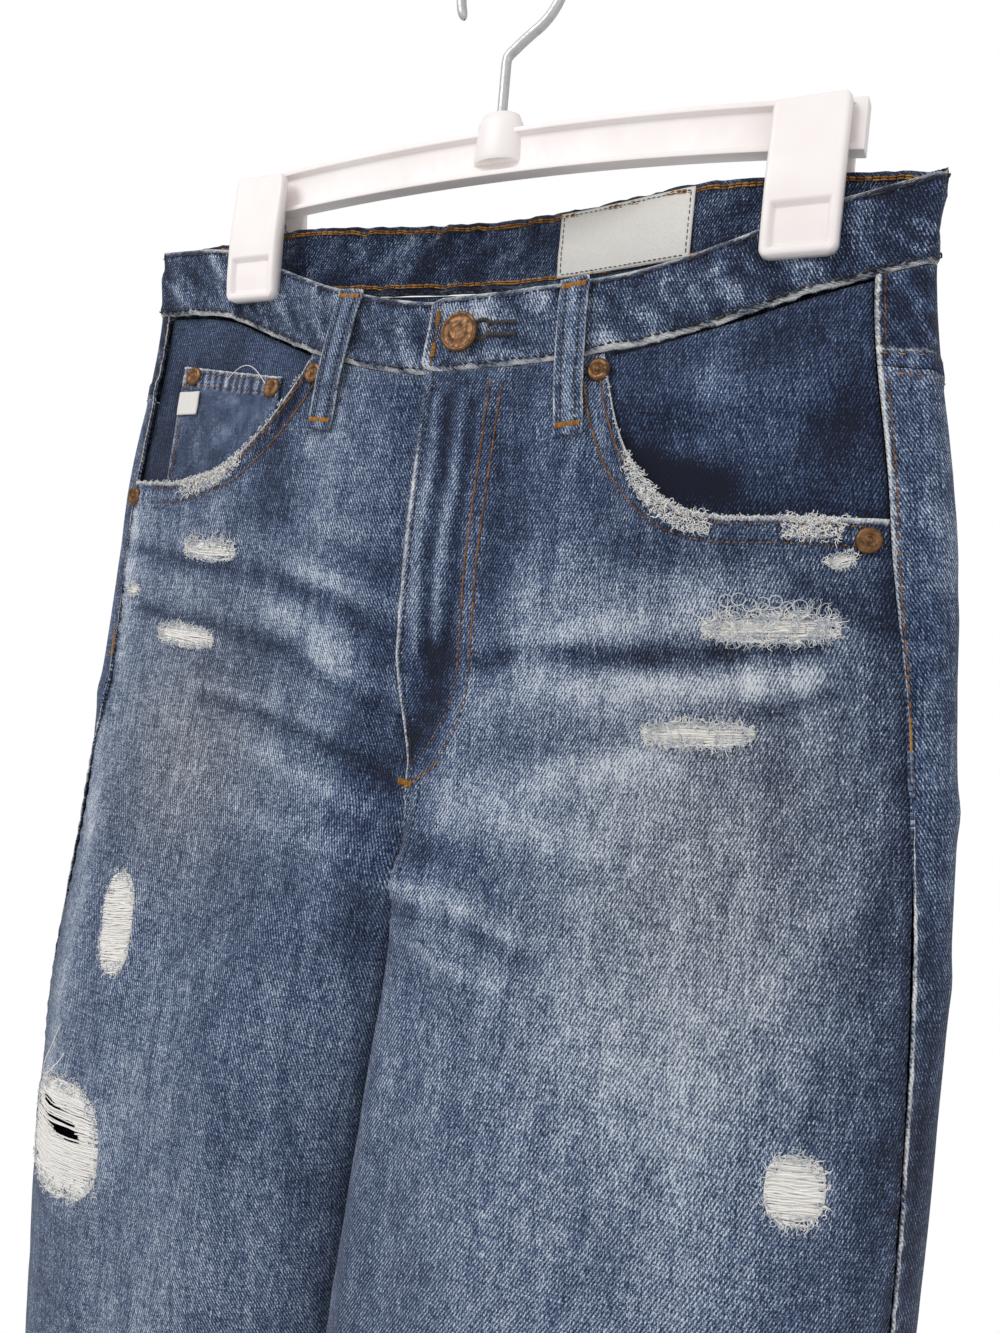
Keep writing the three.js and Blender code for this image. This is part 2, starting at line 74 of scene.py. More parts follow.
def ease(t: Array | float) -> Array:
    """Smooth step from 0 to 1."""
    c = np.clip(t, 0.0, 1.0)
    return c * c * (3.0 - 2.0 * c)


def mix(a: Array | float, b: Array | float, t: Array | float) -> Array:
    """Straight mix of a and b."""
    return a + (b - a) * t


def bell(value: Array | float, width: float, power: int = 2) -> Array:
    """1 at zero, falling away past the width."""
    return np.exp(-((value / width) ** power))


def keyed(table: Table, at: Array | float) -> Array:
    """A smooth value from a short table.

    Args:
        table: rows of (key, value), keys all rising or all falling.
        at: where the value is wanted.

    Returns:
        The value at each place.
    """
    rows = np.array(sorted(table), dtype=float)
    xs, ys = rows[:, 0], rows[:, 1]
    x = np.clip(np.asarray(at, dtype=float), xs[0], xs[-1])
    i = np.clip(np.searchsorted(xs, x) - 1, 0, len(xs) - 2)
    slope = np.diff(ys) / np.diff(xs)
    inner = (slope[:-1] + slope[1:]) / 2 * (slope[:-1] * slope[1:] > 0)
    tangent = np.concatenate([[slope[0]], inner, [slope[-1]]])
    h = xs[i + 1] - xs[i]
    t = (x - xs[i]) / h
    u = 1 - t
    return (
        (1 + 2 * t) * u * u * ys[i]
        + t * u * u * h * tangent[i]
        + t * t * (3 - 2 * t) * ys[i + 1]
        - t * t * u * h * tangent[i + 1]
    )


def hashed(ix: Array, iy: Array, seed: int) -> Array:
    """A repeatable number from 0 to 1 for each whole-number place."""
    n = (ix.astype(np.int64) * 374761393 + iy.astype(np.int64) * 668265263 + seed * 974634777) & 0x7FFFFFFF
    n = ((n ^ (n >> 13)) * 1274126177) & 0x7FFFFFFF
    n = (n ^ (n >> 16)) & 0xFFFFFF
    return n / float(0xFFFFFF)


def wander(x: Array, y: Array, size_x: float, size_y: float, seed: int) -> Array:
    """Smooth noise from -1 to 1 with cells of the given size in mm."""
    u, v = np.asarray(x) / size_x, np.asarray(y) / size_y
    iu, iv = np.floor(u), np.floor(v)
    fu, fv = ease(u - iu), ease(v - iv)
    a, b = hashed(iu, iv, seed), hashed(iu + 1, iv, seed)
    c, d = hashed(iu, iv + 1, seed), hashed(iu + 1, iv + 1, seed)
    return 2 * mix(mix(a, b, fu), mix(c, d, fu), fv) - 1


@dataclass(frozen=True)
class Brush:
    """A soft stroke on the flat of a panel: where the cloth faded, darkened or creased."""

    path: tuple[tuple[float, float], ...]
    width: float
    amount: float

    def at(self, x: Array, z: Array) -> Array:
        """The stroke's strength at each place."""
        best = np.full(np.shape(x), 1e9)
        for (x0, z0), (x1, z1) in zip(self.path[:-1], self.path[1:]):
            dx, dz = x1 - x0, z1 - z0
            t = np.clip(((x - x0) * dx + (z - z0) * dz) / (dx * dx + dz * dz), 0, 1)
            best = np.minimum(best, (x - x0 - t * dx) ** 2 + (z - z0 - t * dz) ** 2)
        return self.amount * np.exp(-best / (2 * self.width**2))


def painted(brushes: tuple[Brush, ...], x: Array, z: Array, widest: float = 1e9, dark: float = 1.0) -> Array:
    """Sum of the strokes that are no wider than the given width, the dark ones scaled."""
    total = np.zeros(np.shape(x))
    for brush in brushes:
        if brush.width <= widest:
            total = total + brush.at(x, z) * (dark if brush.amount < 0 else 1.0)
    return total


# ------------------------------------------------------------------ the garment's form

BAND = 34.0
GAP = 0.4
CROTCH_Z = -298.0
HEM_Z = -1008.0
LAP_X = -18.0
UNDERLAP_X = 14.0
FLY_EDGE = 13.0
LOWER_Z = -225.0  # below it the rows of every panel lie level
HEM_ROW = 11.0
EDGE_ROW = 2.6


class Form:
    """The hanging shape of the jeans, in mm, with z = 0 at the side of the waist."""

    half: Table = ((12, 194), (-33, 192), (-130, 206), (-215, 213), (-298, 218), (-400, 220), (-560, 214),
                   (-760, 204), (-1008, 196))
    deep: Table = ((12, 6), (-33, 7), (-130, 26), (-215, 30), (-298, 36), (-400, 50), (-560, 47), (-760, 40),
                   (-1008, 33))
    fold: Table = ((12, 3.8), (-33, 4.4), (-130, 11), (-215, 14), (-298, 18))
    inner: dict[Side, Table] = {
        Side.LEFT: ((-298, 0.5), (-400, -9), (-500, -19), (-560, -20), (-760, 4), (-1008, 34)),
        Side.RIGHT: ((-298, 0.5), (-400, 11), (-500, 22), (-560, 28), (-760, 50), (-1008, 66)),
    }
    bow_front: Table = ((12, 10), (-33, 9), (-130, 2), (-215, 0))
    bow_back: Table = ((12, 21), (-33, 20), (-130, 18), (-215, 12), (-298, 4), (-400, 0))
    reach: Table = ((12, 105), (-33, 110), (-130, 185), (-215, 215), (-298, 218))
    seam_inset: dict[Side, Table] = {
        Side.LEFT: ((12, 20), (-33, 22), (-130, 23), (-215, 15.5), (-298, 12.5), (-400, 9), (-1008, 6)),
        Side.RIGHT: ((12, 8), (-33, 9), (-130, 13.5), (-215, 15.5), (-298, 11), (-400, 6), (-1008, 4)),
    }
    forward: Table = ((-33, 0), (-298, 2), (-400, 10), (-560, 16), (-760, 16), (-1008, 10))
    sway: Table = ((12, -4), (-33, -3), (-200, 0))
    dip: Table = ((-200, 0), (-145, -4), (-115, -15), (-70, -31), (-20, -40), (30, -38), (75, -32),
                  (110, -22), (150, -10), (200, 0))
    mouth: dict[Side, Table] = {
        Side.LEFT: ((71, -70), (74, -79), (79, -94), (85, -107), (93, -118), (103, -127.5), (115, -132.5),
                    (150, -133), (195, -132)),
        Side.RIGHT: ((80, -64), (86, -76), (95, -90), (106, -102), (122, -114.5), (140, -121),
                     (157, -124), (195, -123)),
    }
    yoke: Table = ((0, -90), (0.5, -84), (1, -75))
    crotch_forward: float = 30.0
    back_rise: float = 10.0

    @classmethod
    def point(cls, side: Side, front: bool, w: Array | float, z: Array | float) -> Array:
        """A point of the outer surface.

        Args:
            side: the wearer's side.
            front: the front panel's surface, or the back panel's.
            w: 0 at the centre or inseam to 1 at the side seam.
            z: height.

        Returns:
            Points with a last axis of 3.
        """
        w, z = np.broadcast_arrays(np.asarray(w, float), np.asarray(z, float))
        a, e, rho = keyed(cls.half, z), keyed(cls.deep, z), keyed(cls.fold, z)
        reach, inset = keyed(cls.reach, z), keyed(cls.seam_inset[side], z)
        flat = a - rho

        def depth(x: Array, bow: Table) -> Array:
            swell = np.maximum(0, 1 - (x / reach) ** 2) ** 1.5
            return rho + (e - rho) * (1 - np.clip(x / flat, 0, 1) ** 2.2) + keyed(bow, z) * swell

        if front:
            tx = w * (a - inset)
            ty = -depth(tx, cls.bow_front)
        else:
            back_x = np.clip(w / 0.8, 0, 1) * flat
            turn = np.clip((w - 0.8) / 0.14, 0, 1)
            front_x = flat - np.clip((w - 0.94) / 0.06, 0, 1) * (inset - rho)
            ends = mix(depth(flat, cls.bow_back) - rho, rho - depth(flat, cls.bow_front), turn)
            tx = np.where(w <= 0.8, back_x, np.where(w <= 0.94, flat + rho * np.sin(turn * np.pi), front_x))
            ty = np.where(
                w <= 0.8,
                depth(back_x, cls.bow_back),
                np.where(w <= 0.94, rho * np.cos(turn * np.pi) + ends, -depth(front_x, cls.bow_front)),
            )
        inner = keyed(cls.inner[side], np.minimum(z, CROTCH_Z))
        al, cx = (a - inner) / 2, (a + inner) / 2
        seam = np.arccos(np.clip((a - inset - cx) / al, -1, 1))
        if front:
            f = w * (np.pi - seam)
        else:
            f = np.where(w < 0.87, w / 0.87 * np.pi, np.pi + (w - 0.87) / 0.13 * seam)
        k = ease((-z - 225) / 73)
        x = mix(tx, cx - al * np.cos(f), k)
        y = mix(ty, (-1 if front else 1) * e * np.sin(f), k)
        fall = np.exp(-np.maximum(0, CROTCH_Z - z) / 140)
        y = y - cls.crotch_forward * k * np.clip(1 - np.abs(x) / 110, 0, 1) ** 1.5 * fall
        y = y - keyed(cls.forward, z) * (1.3 if side is Side.LEFT else 0.8)
        return np.stack([side.value * x + keyed(cls.sway, z), y, np.broadcast_to(z, x.shape)], -1)

    @classmethod
    def front_at(cls, x: Array | float, z: Array | float) -> Array:
        """Point of the front surface over the crotch at x, z."""
        x, z = np.broadcast_arrays(np.asarray(x, float), np.asarray(z, float))
        local = x - keyed(cls.sway, z)
        half = keyed(cls.half, z)
        right, left = (cls.point(side, True, np.abs(local) / (half - keyed(cls.seam_inset[side], z)), z)
                       for side in (Side.RIGHT, Side.LEFT))
        return np.where((local < 0)[..., None], right, left)

    @classmethod
    def front_top(cls, x: Array | float) -> Array:
        """Height of the front waist edge."""
        return keyed(cls.dip, x)

    @classmethod
    def back_top(cls, x: Array | float) -> Array:
        """Height of the back waist edge."""
        return cls.back_rise * np.clip(1 - (np.asarray(x) / 195) ** 2, 0, 1)

    @classmethod
    def share(cls, side: Side, x: Array, z: Array) -> Array:
        """The front panel's w for a given x and z, by halving."""
        low, high = np.full(np.shape(x), -0.15), np.full(np.shape(x), 1.0)
        for _ in range(26):
            middle = (low + high) / 2
            beyond = (cls.point(side, True, middle, z)[..., 0] - x) * side.value > 0
            high, low = np.where(beyond, middle, high), np.where(beyond, low, middle)
        return (low + high) / 2


def lapped(z: Array | float) -> Array:
    """1 where the fly laps over, 0 where the fronts meet edge to edge."""
    return np.clip((ease((np.asarray(z) + 285) / 30) - 0.3) / 0.7, 0, 1)


def fly_x(z: Array | float) -> Array:
    """The fly edge's distance over the centre line."""
    narrow = np.clip(mix(1, 0.15, (-np.asarray(z) - 200) / 46), 0.15, 1)
    return GAP - (FLY_EDGE + GAP) * lapped(z) * narrow


FADES: tuple[Brush, ...] = (
    # the wearer's left hip, from the fly to the side seam
    Brush(((52, -167), (86, -165), (117, -162), (157, -154)), 6.7, 0.04),
    Brush(((50, -192), (71, -180), (119, -174)), 5.0, 0.24),
    Brush(((28, -200), (48, -192), (88, -192), (120, -188), (160, -181)), 3.4, -0.50),
    Brush(((50, -208), (88, -205)), 5.0, 0.22),
    Brush(((96, -204), (122, -200), (158, -194)), 5.0, 0.42),
    Brush(((33, -235), (63, -231), (102, -221)), 3.9, -0.15),
    Brush(((140, -209), (155, -204), (167, -198)), 2.6, -0.30),
    Brush(((42, -253), (74, -239), (106, -229)), 5.9, 0.20),
    Brush(((145, -233), (161, -229), (176, -222), (188, -218)), 2.9, -0.12),
    Brush(((155, -258), (169, -246), (182, -235), (195, -225)), 3.3, -0.14),
    Brush(((44, -88), (47, -139), (46, -188)), 4.0, 0.10),
    Brush(((84, -148), (116, -150), (164, -148)), 4.5, -0.16),
    Brush(((69, -121), (93, -153)), 7.1, -0.12),
    Brush(((180, -147), (189, -198), (195, -255), (200, -304), (204, -357), (204, -900)), 8.0, -0.24),
    Brush(((2, -298), (32, -296), (61, -306)), 3.2, 0.20),
    Brush(((0, -314), (29, -322), (58, -325)), 2.8, 0.20),
    Brush(((7, -304), (43, -307), (70, -314)), 2.7, -0.25),
    Brush(((13, -280), (59, -275), (92, -276)), 5.1, -0.16),
    Brush(((157, -310), (172, -287), (185, -265)), 4.3, 0.12),
    Brush(((194, -315), (170, -326)), 3.6, 0.10),
    Brush(((103, -242), (132, -279), (144, -316)), 34.0, 0.20),
    Brush(((120, -360), (110, -520), (108, -640)), 38.0, 0.12),
    # the wearer's right hip
    Brush(((-194, -158), (-148, -164), (-109, -166), (-71, -174), (-38, -182)), 3.6, -0.32),
    Brush(((-75, -163), (-39, -174), (-14, -180)), 3.9, 0.26),
    Brush(((-181, -189), (-121, -195), (-78, -202), (-44, -216), (-23, -223)), 3.1, -0.32),
    Brush(((-84, -185), (-58, -196), (-30, -208), (-13, -214)), 5.7, 0.24),
    Brush(((-125, -230), (-90, -233), (-56, -240), (-29, -248), (-9, -256)), 3.0, -0.32),
    Brush(((-132, -225), (-86, -229), (-44, -237)), 3.2, 0.14),
    Brush(((-81, -251), (-52, -260), (-20, -267)), 3.5, 0.24),
    Brush(((-78, -280), (-49, -283), (-18, -288)), 3.9, 0.16),
    Brush(((-29, -159), (-25, -212), (-14, -259)), 7.9, -0.12),
    Brush(((-206, -208), (-205, -251), (-193, -307)), 4.7, 0.22),
    Brush(((-100, -133), (-54, -153), (-21, -158)), 6.6, -0.14),
    Brush(((-74, -142), (-22, -152)), 3.5, 0.16),
    Brush(((-30, -287), (-27, -352), (-28, -425)), 5.3, 0.10),
    Brush(((-194, -134), (-199, -166)), 7.4, 0.20),
    Brush(((-138, -243), (-113, -278)), 28.8, 0.10),
    Brush(((-118, -360), (-116, -520), (-116, -640)), 34.0, 0.06),
    # the fly's long puckers
    Brush(((-7, -87), (-5, -114), (-7, -158), (-4, -197)), 1.6, 0.32),
    Brush(((-2, -87), (1, -118), (-1, -157), (1, -196)), 1.8, -0.30),
    Brush(((5, -87), (7, -118), (5, -157), (6, -192)), 1.8, 0.28),
    Brush(((11, -88), (12, -118), (12, -157), (12, -195)), 1.8, -0.32),
    Brush(((7, -198), (7, -216), (0, -238)), 7.0, -0.62),
    Brush(((26, -88), (29, -131), (29, -181)), 3.8, -0.14),
    # broad darker and lighter strokes
    Brush(((36, -78), (38, -150)), 11.0, -0.26),
    Brush(((-90, -120), (-102, -98), (-92, -82)), 10.0, -0.38),
    Brush(((158, -160), (182, -168)), 6.5, -0.36),
    Brush(((108, -163), (124, -164)), 6.0, 0.12),
    Brush(((186, -226), (188, -240)), 6.0, 0.12),
    Brush(((-108, -136), (-84, -140)), 7.0, -0.18),
    Brush(((0, -80), (4, -104)), 9.0, -0.16),
    Brush(((-190, -300), (-186, -360), (-184, -430)), 9.0, 0.18),
    Brush(((176, -300), (172, -360)), 14.0, -0.12),
    Brush(((84, -328), (98, -342)), 17.0, 0.10),
    Brush(((-98, -66), (-36, -78)), 9.0, -0.14),
    Brush(((-20, -84), (-14, -104)), 8.0, -0.16),
    Brush(((18, -262), (45, -266), (80, -272)), 9.0, 0.20),
    Brush(((8, -298), (26, -303)), 8.0, 0.22),
    Brush(((30, -305), (56, -312)), 8.0, 0.14),
    Brush(((-30, -220), (-44, -214), (-54, -208)), 5.0, 0.24),
    Brush(((-66, -196), (-74, -198)), 5.0, -0.16),
    Brush(((-190, -136), (-195, -170), (-195, -215)), 7.0, 0.18),
    Brush(((-193, -260), (-188, -330), (-178, -420)), 7.0, 0.14),
    Brush(((-76, -317), (-80, -430)), 20.0, -0.12),
    Brush(((-27, -300), (-30, -430)), 9.0, -0.08),
    Brush(((6, -80), (6, -200)), 11.0, -0.20),
    Brush(((-22, -190), (-18, -270), (-16, -320)), 11.0, -0.24),
    Brush(((84, -182), (46, -196), (28, -216)), 8.0, 0.10),
    Brush(((-190, -140), (-196, -200)), 10.0, 0.08),
    Brush(((70, -158), (110, -160)), 9.0, 0.03),
    Brush(((-150, -178), (-100, -184), (-60, -196)), 5.5, 0.05),
    Brush(((-128, -214), (-100, -212)), 7.0, -0.10),
    Brush(((8, -262), (20, -300), (36, -330)), 10.0, -0.06),
    # knees
    Brush(((60, -560), (110, -572), (160, -560)), 4.0, -0.14),
    Brush(((66, -598), (112, -606), (158, -596)), 5.0, 0.16),
    Brush(((-62, -566), (-112, -576), (-162, -562)), 4.0, -0.14),
    Brush(((-66, -604), (-114, -612), (-160, -600)), 5.0, 0.16),
)

# Soft hanging folds of the front, in mm of height.
FRONT_FOLDS: tuple[Brush, ...] = (
    Brush(((70, -330), (78, -520), (84, -800)), 16.0, 2.6),
    Brush(((128, -300), (134, -560), (138, -900)), 14.0, -2.2),
    Brush(((168, -340), (172, -620), (160, -960)), 12.0, 1.8),
    Brush(((22, -330), (20, -470), (48, -760)), 9.0, -1.6),
    Brush(((-60, -330), (-78, -520), (-98, -800)), 15.0, 2.4),
    Brush(((-120, -310), (-130, -600), (-136, -920)), 13.0, -2.0),
    Brush(((-176, -300), (-178, -560), (-170, -900)), 10.0, 1.6),
    Brush(((40, -240), (96, -262), (150, -250)), 9.0, -1.4),
    Brush(((-30, -250), (-80, -272), (-140, -262)), 9.0, -1.4),
    Brush(((2, -292), (40, -330), (86, -350)), 6.0, 1.8),
    Brush(((-4, -296), (-40, -330), (-90, -352)), 6.0, 1.6),
    Brush(((62, -90), (66, -150), (60, -210)), 6.0, 0.9),
    Brush(((-52, -100), (-56, -150), (-50, -200)), 6.0, 0.8),
)

BACK_FOLDS: tuple[Brush, ...] = (
    Brush(((20, -262), (70, -285), (150, -280)), 6.0, -2.2),
    Brush(((20, -292), (80, -318), (160, -306)), 7.0, 2.0),
    Brush(((30, -336), (90, -352), (170, -340)), 7.0, -1.8),
    Brush(((90, -380), (96, -560), (92, -860)), 15.0, 2.4),
    Brush(((150, -360), (154, -600), (146, -900)), 13.0, -2.0),
    Brush(((50, -560), (100, -576), (160, -560)), 6.0, -2.0),
    Brush(((52, -590), (104, -604), (160, -592)), 6.0, 1.8),
    Brush(((54, -622), (104, -634), (156, -622)), 5.0, -1.6),
)


FACING_FOLDS: tuple[Brush, ...] = (
    Brush(((98, -82), (128, -80), (168, -70)), 7.0, 1.3),
    Brush(((90, -100), (130, -104), (168, -92)), 6.0, -1.0),
)
# painted shade and light of the pocket facings: a deep painted shadow in the slot low in the mouth, painted
# highlights on the facing's lower ridge and painted shade at its upper ends; drawn over the distance from the centre
# front, so the same on both sides
FACING_LIGHT_AND_SHADE: tuple[Brush, ...] = (
    Brush(((126, -114), (144, -106)), 6.0, 0.12),
    Brush(((86, -110), (102, -116), (124, -121)), 4.0, -0.7),
    Brush(((108, -105), (130, -101), (146, -99)), 5.0, 0.2),
    Brush(((140, -66), (168, -72), (166, -98)), 10.0, -0.2),
    Brush(((84, -64), (92, -80)), 10.0, -0.12),
)
BAND_FOLDS: tuple[Brush, ...] = (
    Brush(((150, -34), (118, -44), (92, -52)), 3.4, 1.1),
    Brush(((44, -44), (66, -52), (88, -60)), 3.0, -0.9),
    Brush(((-150, -14), (-120, -30), (-88, -44)), 3.2, 0.9),
    Brush(((-40, -52), (-62, -60)), 3.0, -0.8),
)


# ------------------------------------------------------------------ colours and finishes


def colour(r: int, g: int, b: int) -> tuple[float, float, float, float]:
    """Linear colour from 8-bit display values."""

    def one(v: int) -> float:
        s = v / 255
        return s / 12.92 if s <= 0.04045 else ((s + 0.055) / 1.055) ** 2.4

    return (one(r), one(g), one(b), 1.0)


Stops = tuple[tuple[float, tuple[float, float, float, float]], ...]

INDIGO: Stops = (
    (0.0, colour(11, 17, 36)),
    (0.25, colour(38, 54, 87)),
    (0.5, colour(72, 93, 126)),
    (0.75, colour(123, 139, 164)),
    (1.0, colour(208, 214, 222)),
)
ABRADED: Stops = ((0.0, colour(96, 106, 124)), (0.55, colour(168, 172, 178)), (1.0, colour(236, 235, 232)))


class Graph:
    """Short ways to place nodes in a tree and join them."""

    def __init__(self, tree: bpy.types.NodeTree) -> None:
        """Holds the tree."""
        self.tree = tree

    def add(self, kind: str, **settings: object) -> bpy.types.Node:
        """A new node with its settings."""
        made = self.tree.nodes.new(kind)
        for name, value in settings.items():
            setattr(made, name, value)
        return made

    def join(self, socket: Socket, value: object) -> None:
        """Links a socket, or sets its value."""
        if isinstance(value, Socket):
            self.tree.links.new(value, socket)
        else:
            socket.default_value = value

    def math(self, operation: str, *values: object, clamp: bool = False) -> Socket:
        """One Math node."""
        made = self.add("ShaderNodeMath", operation=operation, use_clamp=clamp)
        for socket, value in zip(made.inputs, values):
            self.join(socket, value)
        return made.outputs[0]

    def scaled(self, vector: object, factors: tuple[float, float, float]) -> Socket:
        """A vector times one factor an axis."""
        made = self.add("ShaderNodeVectorMath", operation="MULTIPLY")
        self.join(made.inputs[0], vector)
        made.inputs[1].default_value = factors
        return made.outputs[0]

    def noise(self, vector: object, scale: object, detail: float = 2.0, rough: float = 0.5) -> Socket:
        """Noise from 0 to 1."""
        made = self.add("ShaderNodeTexNoise")
        self.join(made.inputs["Vector"], vector)
        self.join(made.inputs["Scale"], scale)
        made.inputs["Detail"].default_value = detail
        made.inputs["Roughness"].default_value = rough
        return made.outputs["Fac"]

    def ramp(self, factor: object, stops: Stops) -> Socket:
        """Colour by a factor."""
        made = self.add("ShaderNodeValToRGB")
        self.join(made.inputs[0], factor)
        elements = made.color_ramp.elements
        while len(elements) < len(stops):
            elements.new(0.5)
        for element, (place, value) in zip(elements, stops):
            element.position = place
            element.color = value
        return made.outputs[0]

    def blend(self, factor: object, a: object, b: object, kind: str = "MIX") -> Socket:
        """Two colours mixed."""
        made = self.add("ShaderNodeMix", data_type="RGBA", blend_type=kind)
        self.join(made.inputs["Factor"], factor)
        self.join(made.inputs[6], a)
        self.join(made.inputs[7], b)
        return made.outputs[2]

    def span(self, value: object, low: float, high: float, to_low: float = 0.0,
             to_high: float = 1.0) -> Socket:
        """A value moved from one range to another, held at the ends."""
        made = self.add("ShaderNodeMapRange")
        for socket, given in zip(made.inputs, (value, low, high, to_low, to_high)):
            self.join(socket, given)
        return made.outputs[0]

    def around(self, value: object, factor: float, middle: float = 0.5) -> Socket:
        """A value's distance from its middle, times a factor."""
        return self.math("MULTIPLY", self.math("SUBTRACT", value, middle), factor)

    def field(self, name: str) -> Socket:
        """A number kept at each point of the mesh."""
        return self.add("ShaderNodeAttribute", attribute_name=name).outputs["Fac"]

    def finish(self, shader: bpy.types.Node, even: dict[str, float], height: object, strength: float,
               deep: float) -> None:
        """Sets what is even all over, and the fine relief.

        Args:
            shader: the Principled shader.
            even: values by socket name.
            height: the relief's height.
            strength: how much of it shows.
            deep: its depth in mm.
        """
        for name, value in even.items():
            shader.inputs[name].default_value = value
        bump = self.add("ShaderNodeBump")
        bump.inputs["Strength"].default_value = strength
        bump.inputs["Distance"].default_value = deep * MM
        self.join(bump.inputs["Height"], height)
        self.join(shader.inputs["Normal"], bump.outputs[0])


class Group:
    """A shader node group under construction."""

    def __init__(self, name: str, takes: dict[str, float], gives: tuple[str, ...]) -> None:
        """Starts the group.

        Args:
            name: the group's name.
            takes: input names with their defaults.
            gives: output names; one that starts with Colour is a colour.
        """
        self.tree = bpy.data.node_groups.new(name, "ShaderNodeTree")
        for word, default in takes.items():
            made = self.tree.interface.new_socket(name=word, in_out="INPUT", socket_type="NodeSocketFloat")
            made.default_value = default
        for word in gives:
            kind = "NodeSocketColor" if word.startswith("Colour") else "NodeSocketFloat"
            self.tree.interface.new_socket(name=word, in_out="OUTPUT", socket_type=kind)
        self.graph = Graph(self.tree)
        self.inputs = self.graph.add("NodeGroupInput").outputs
        self.outputs = self.graph.add("NodeGroupOutput").inputs


def cloth_coordinates(graph: Graph) -> Socket:
    """The cloth's own coordinates in mm, laid on each panel."""
    return graph.add("ShaderNodeAttribute", attribute_name="cloth").outputs["Vector"]


def twill_group() -> bpy.types.NodeTree:
    """Warp-faced right-hand twill: ribs, slubby warp and pale weft flecks."""
    made = Group("Twill weave", {"Rib": 1.0, "Slub": 1.0, "Fleck": 1.0}, ("Tone", "Height"))
    g = made.graph
    cloth = cloth_coordinates(g)
    wobble = g.noise(g.scaled(cloth, (0.08, 0.05, 1)), 1.0, 3.0)
    along = g.add("ShaderNodeVectorMath", operation="DOT_PRODUCT")
    g.join(along.inputs[0], cloth)
    along.inputs[1].default_value = (4.5, -2.6, 0.0)
    phase = g.math("ADD", along.outputs["Value"], g.math("MULTIPLY", wobble, 5.0))
    rib = g.math("SINE", phase)
    warp = g.noise(g.scaled(cloth, (2.1, 0.13, 1)), 1.0, 3.0, 0.65)
    yarn = g.noise(g.scaled(cloth, (2.6, 0.5, 1)), 1.0, 2.0, 0.6)
    fleck = g.noise(g.scaled(cloth, (2.3, 1.7, 1)), 1.0, 2.0, 0.75)
    weft = g.noise(g.scaled(cloth, (0.12, 1.3, 1)), 1.0, 2.0, 0.6)
    tone = g.math("MULTIPLY", g.math("MULTIPLY", rib, 0.3), made.inputs["Rib"])
    for part in (g.math("MULTIPLY", g.around(warp, 1.6), made.inputs["Slub"]), g.around(yarn, 1.3),
                 g.math("MULTIPLY", g.around(fleck, 2.9), made.inputs["Fleck"]), g.around(weft, 0.7)):
        tone = g.math("ADD", tone, part)
    g.join(made.outputs["Tone"], tone)
    height = g.math("ADD", g.math("MULTIPLY", rib, 0.5), g.math("MULTIPLY", yarn, 0.9))
    g.join(made.outputs["Height"], g.math("ADD", height, g.math("MULTIPLY", fleck, 0.6)))
    return made.tree


def wear_group() -> bpy.types.NodeTree:
    """White abrasion that breaks up along an edge."""
    made = Group("Edge abrasion", {"Worn": 0.0, "Fineness": 1.0}, ("Mask",))
    g = made.graph
    cloth = cloth_coordinates(g)
    fine = g.noise(cloth, made.inputs["Fineness"], 4.0, 0.7)
    broad = g.noise(g.scaled(cloth, (0.16, 0.16, 1)), 1.0, 2.0)
    level = g.math("ADD", g.math("ADD", made.inputs["Worn"], g.around(fine, 1.5)), g.around(broad, 0.5))
    present = g.span(made.inputs["Worn"], 0.02, 0.25)
    g.join(made.outputs["Mask"], g.math("MULTIPLY", g.span(level, 0.3, 0.85), present))
    return made.tree


def patina_group() -> bpy.types.NodeTree:
    """Dark tarnish and rubbed highlights on small metal."""
    made = Group("Metal patina", {"Amount": 0.6}, ("Mask", "Roughness"))
    g = made.graph
    place = g.add("ShaderNodeNewGeometry").outputs["Position"]
    blotch = g.noise(place, 420.0, 5.0, 0.65)
    speck = g.noise(place, 1900.0, 3.0, 0.7)
    mask = g.span(g.math("ADD", blotch, g.math("MULTIPLY", speck, 0.35)), 0.52, 0.86)
    g.join(made.outputs["Mask"], g.math("MULTIPLY", mask, made.inputs["Amount"]))
    g.join(made.outputs["Roughness"], g.span(blotch, 0.3, 0.7, 0.3, 0.62))
    return made.tree


def plain_weave_group() -> bpy.types.NodeTree:
    """Fine plain weave for pocket cotton, tape and labels."""
    made = Group("Plain weave", {"Strength": 1.0}, ("Tone", "Height"))
    g = made.graph
    cloth = cloth_coordinates(g)
    split = g.add("ShaderNodeSeparateXYZ")
    g.join(split.inputs[0], cloth)
    across = g.math("SINE", g.math("MULTIPLY", split.outputs[0], 9.0))
    down = g.math("SINE", g.math("MULTIPLY", split.outputs[1], 9.0))
    uneven = g.noise(g.scaled(cloth, (0.9, 0.9, 1)), 1.0, 3.0, 0.6)
    both = g.math("ADD", g.math("MULTIPLY", across, 0.5), g.math("MULTIPLY", down, 0.5))
    tone = g.math("ADD", g.math("MULTIPLY", both, 0.08), g.around(uneven, 0.5))
    g.join(made.outputs["Tone"], g.math("MULTIPLY", tone, made.inputs["Strength"]))
    g.join(made.outputs["Height"], g.math("ADD", both, uneven))
    return made.tree


class Effects:
    """The node groups, each built once."""

    def __init__(self) -> None:
        """Builds them."""
        self.twill = twill_group()
        self.wear = wear_group()
        self.patina = patina_group()
        self.weave = plain_weave_group()

    def place(self, graph: Graph, tree: bpy.types.NodeTree, **values: object) -> bpy.types.Node:
        """Puts a group in a material with its own values."""
        made = graph.add("ShaderNodeGroup", node_tree=tree)
        for name, value in values.items():
            graph.join(made.inputs[name], value)
        return made


def new_material(name: str) -> tuple[bpy.types.Material, Graph, bpy.types.Node]:
    """An empty material with its Principled shader.

    Args:
        name: the material's name.

    Returns:
        The material, its graph and the shader node.
    """
    material = bpy.data.materials.new(name)
    material.use_nodes = True
    graph = Graph(material.node_tree)
    return material, graph, material.node_tree.nodes["Principled BSDF"]


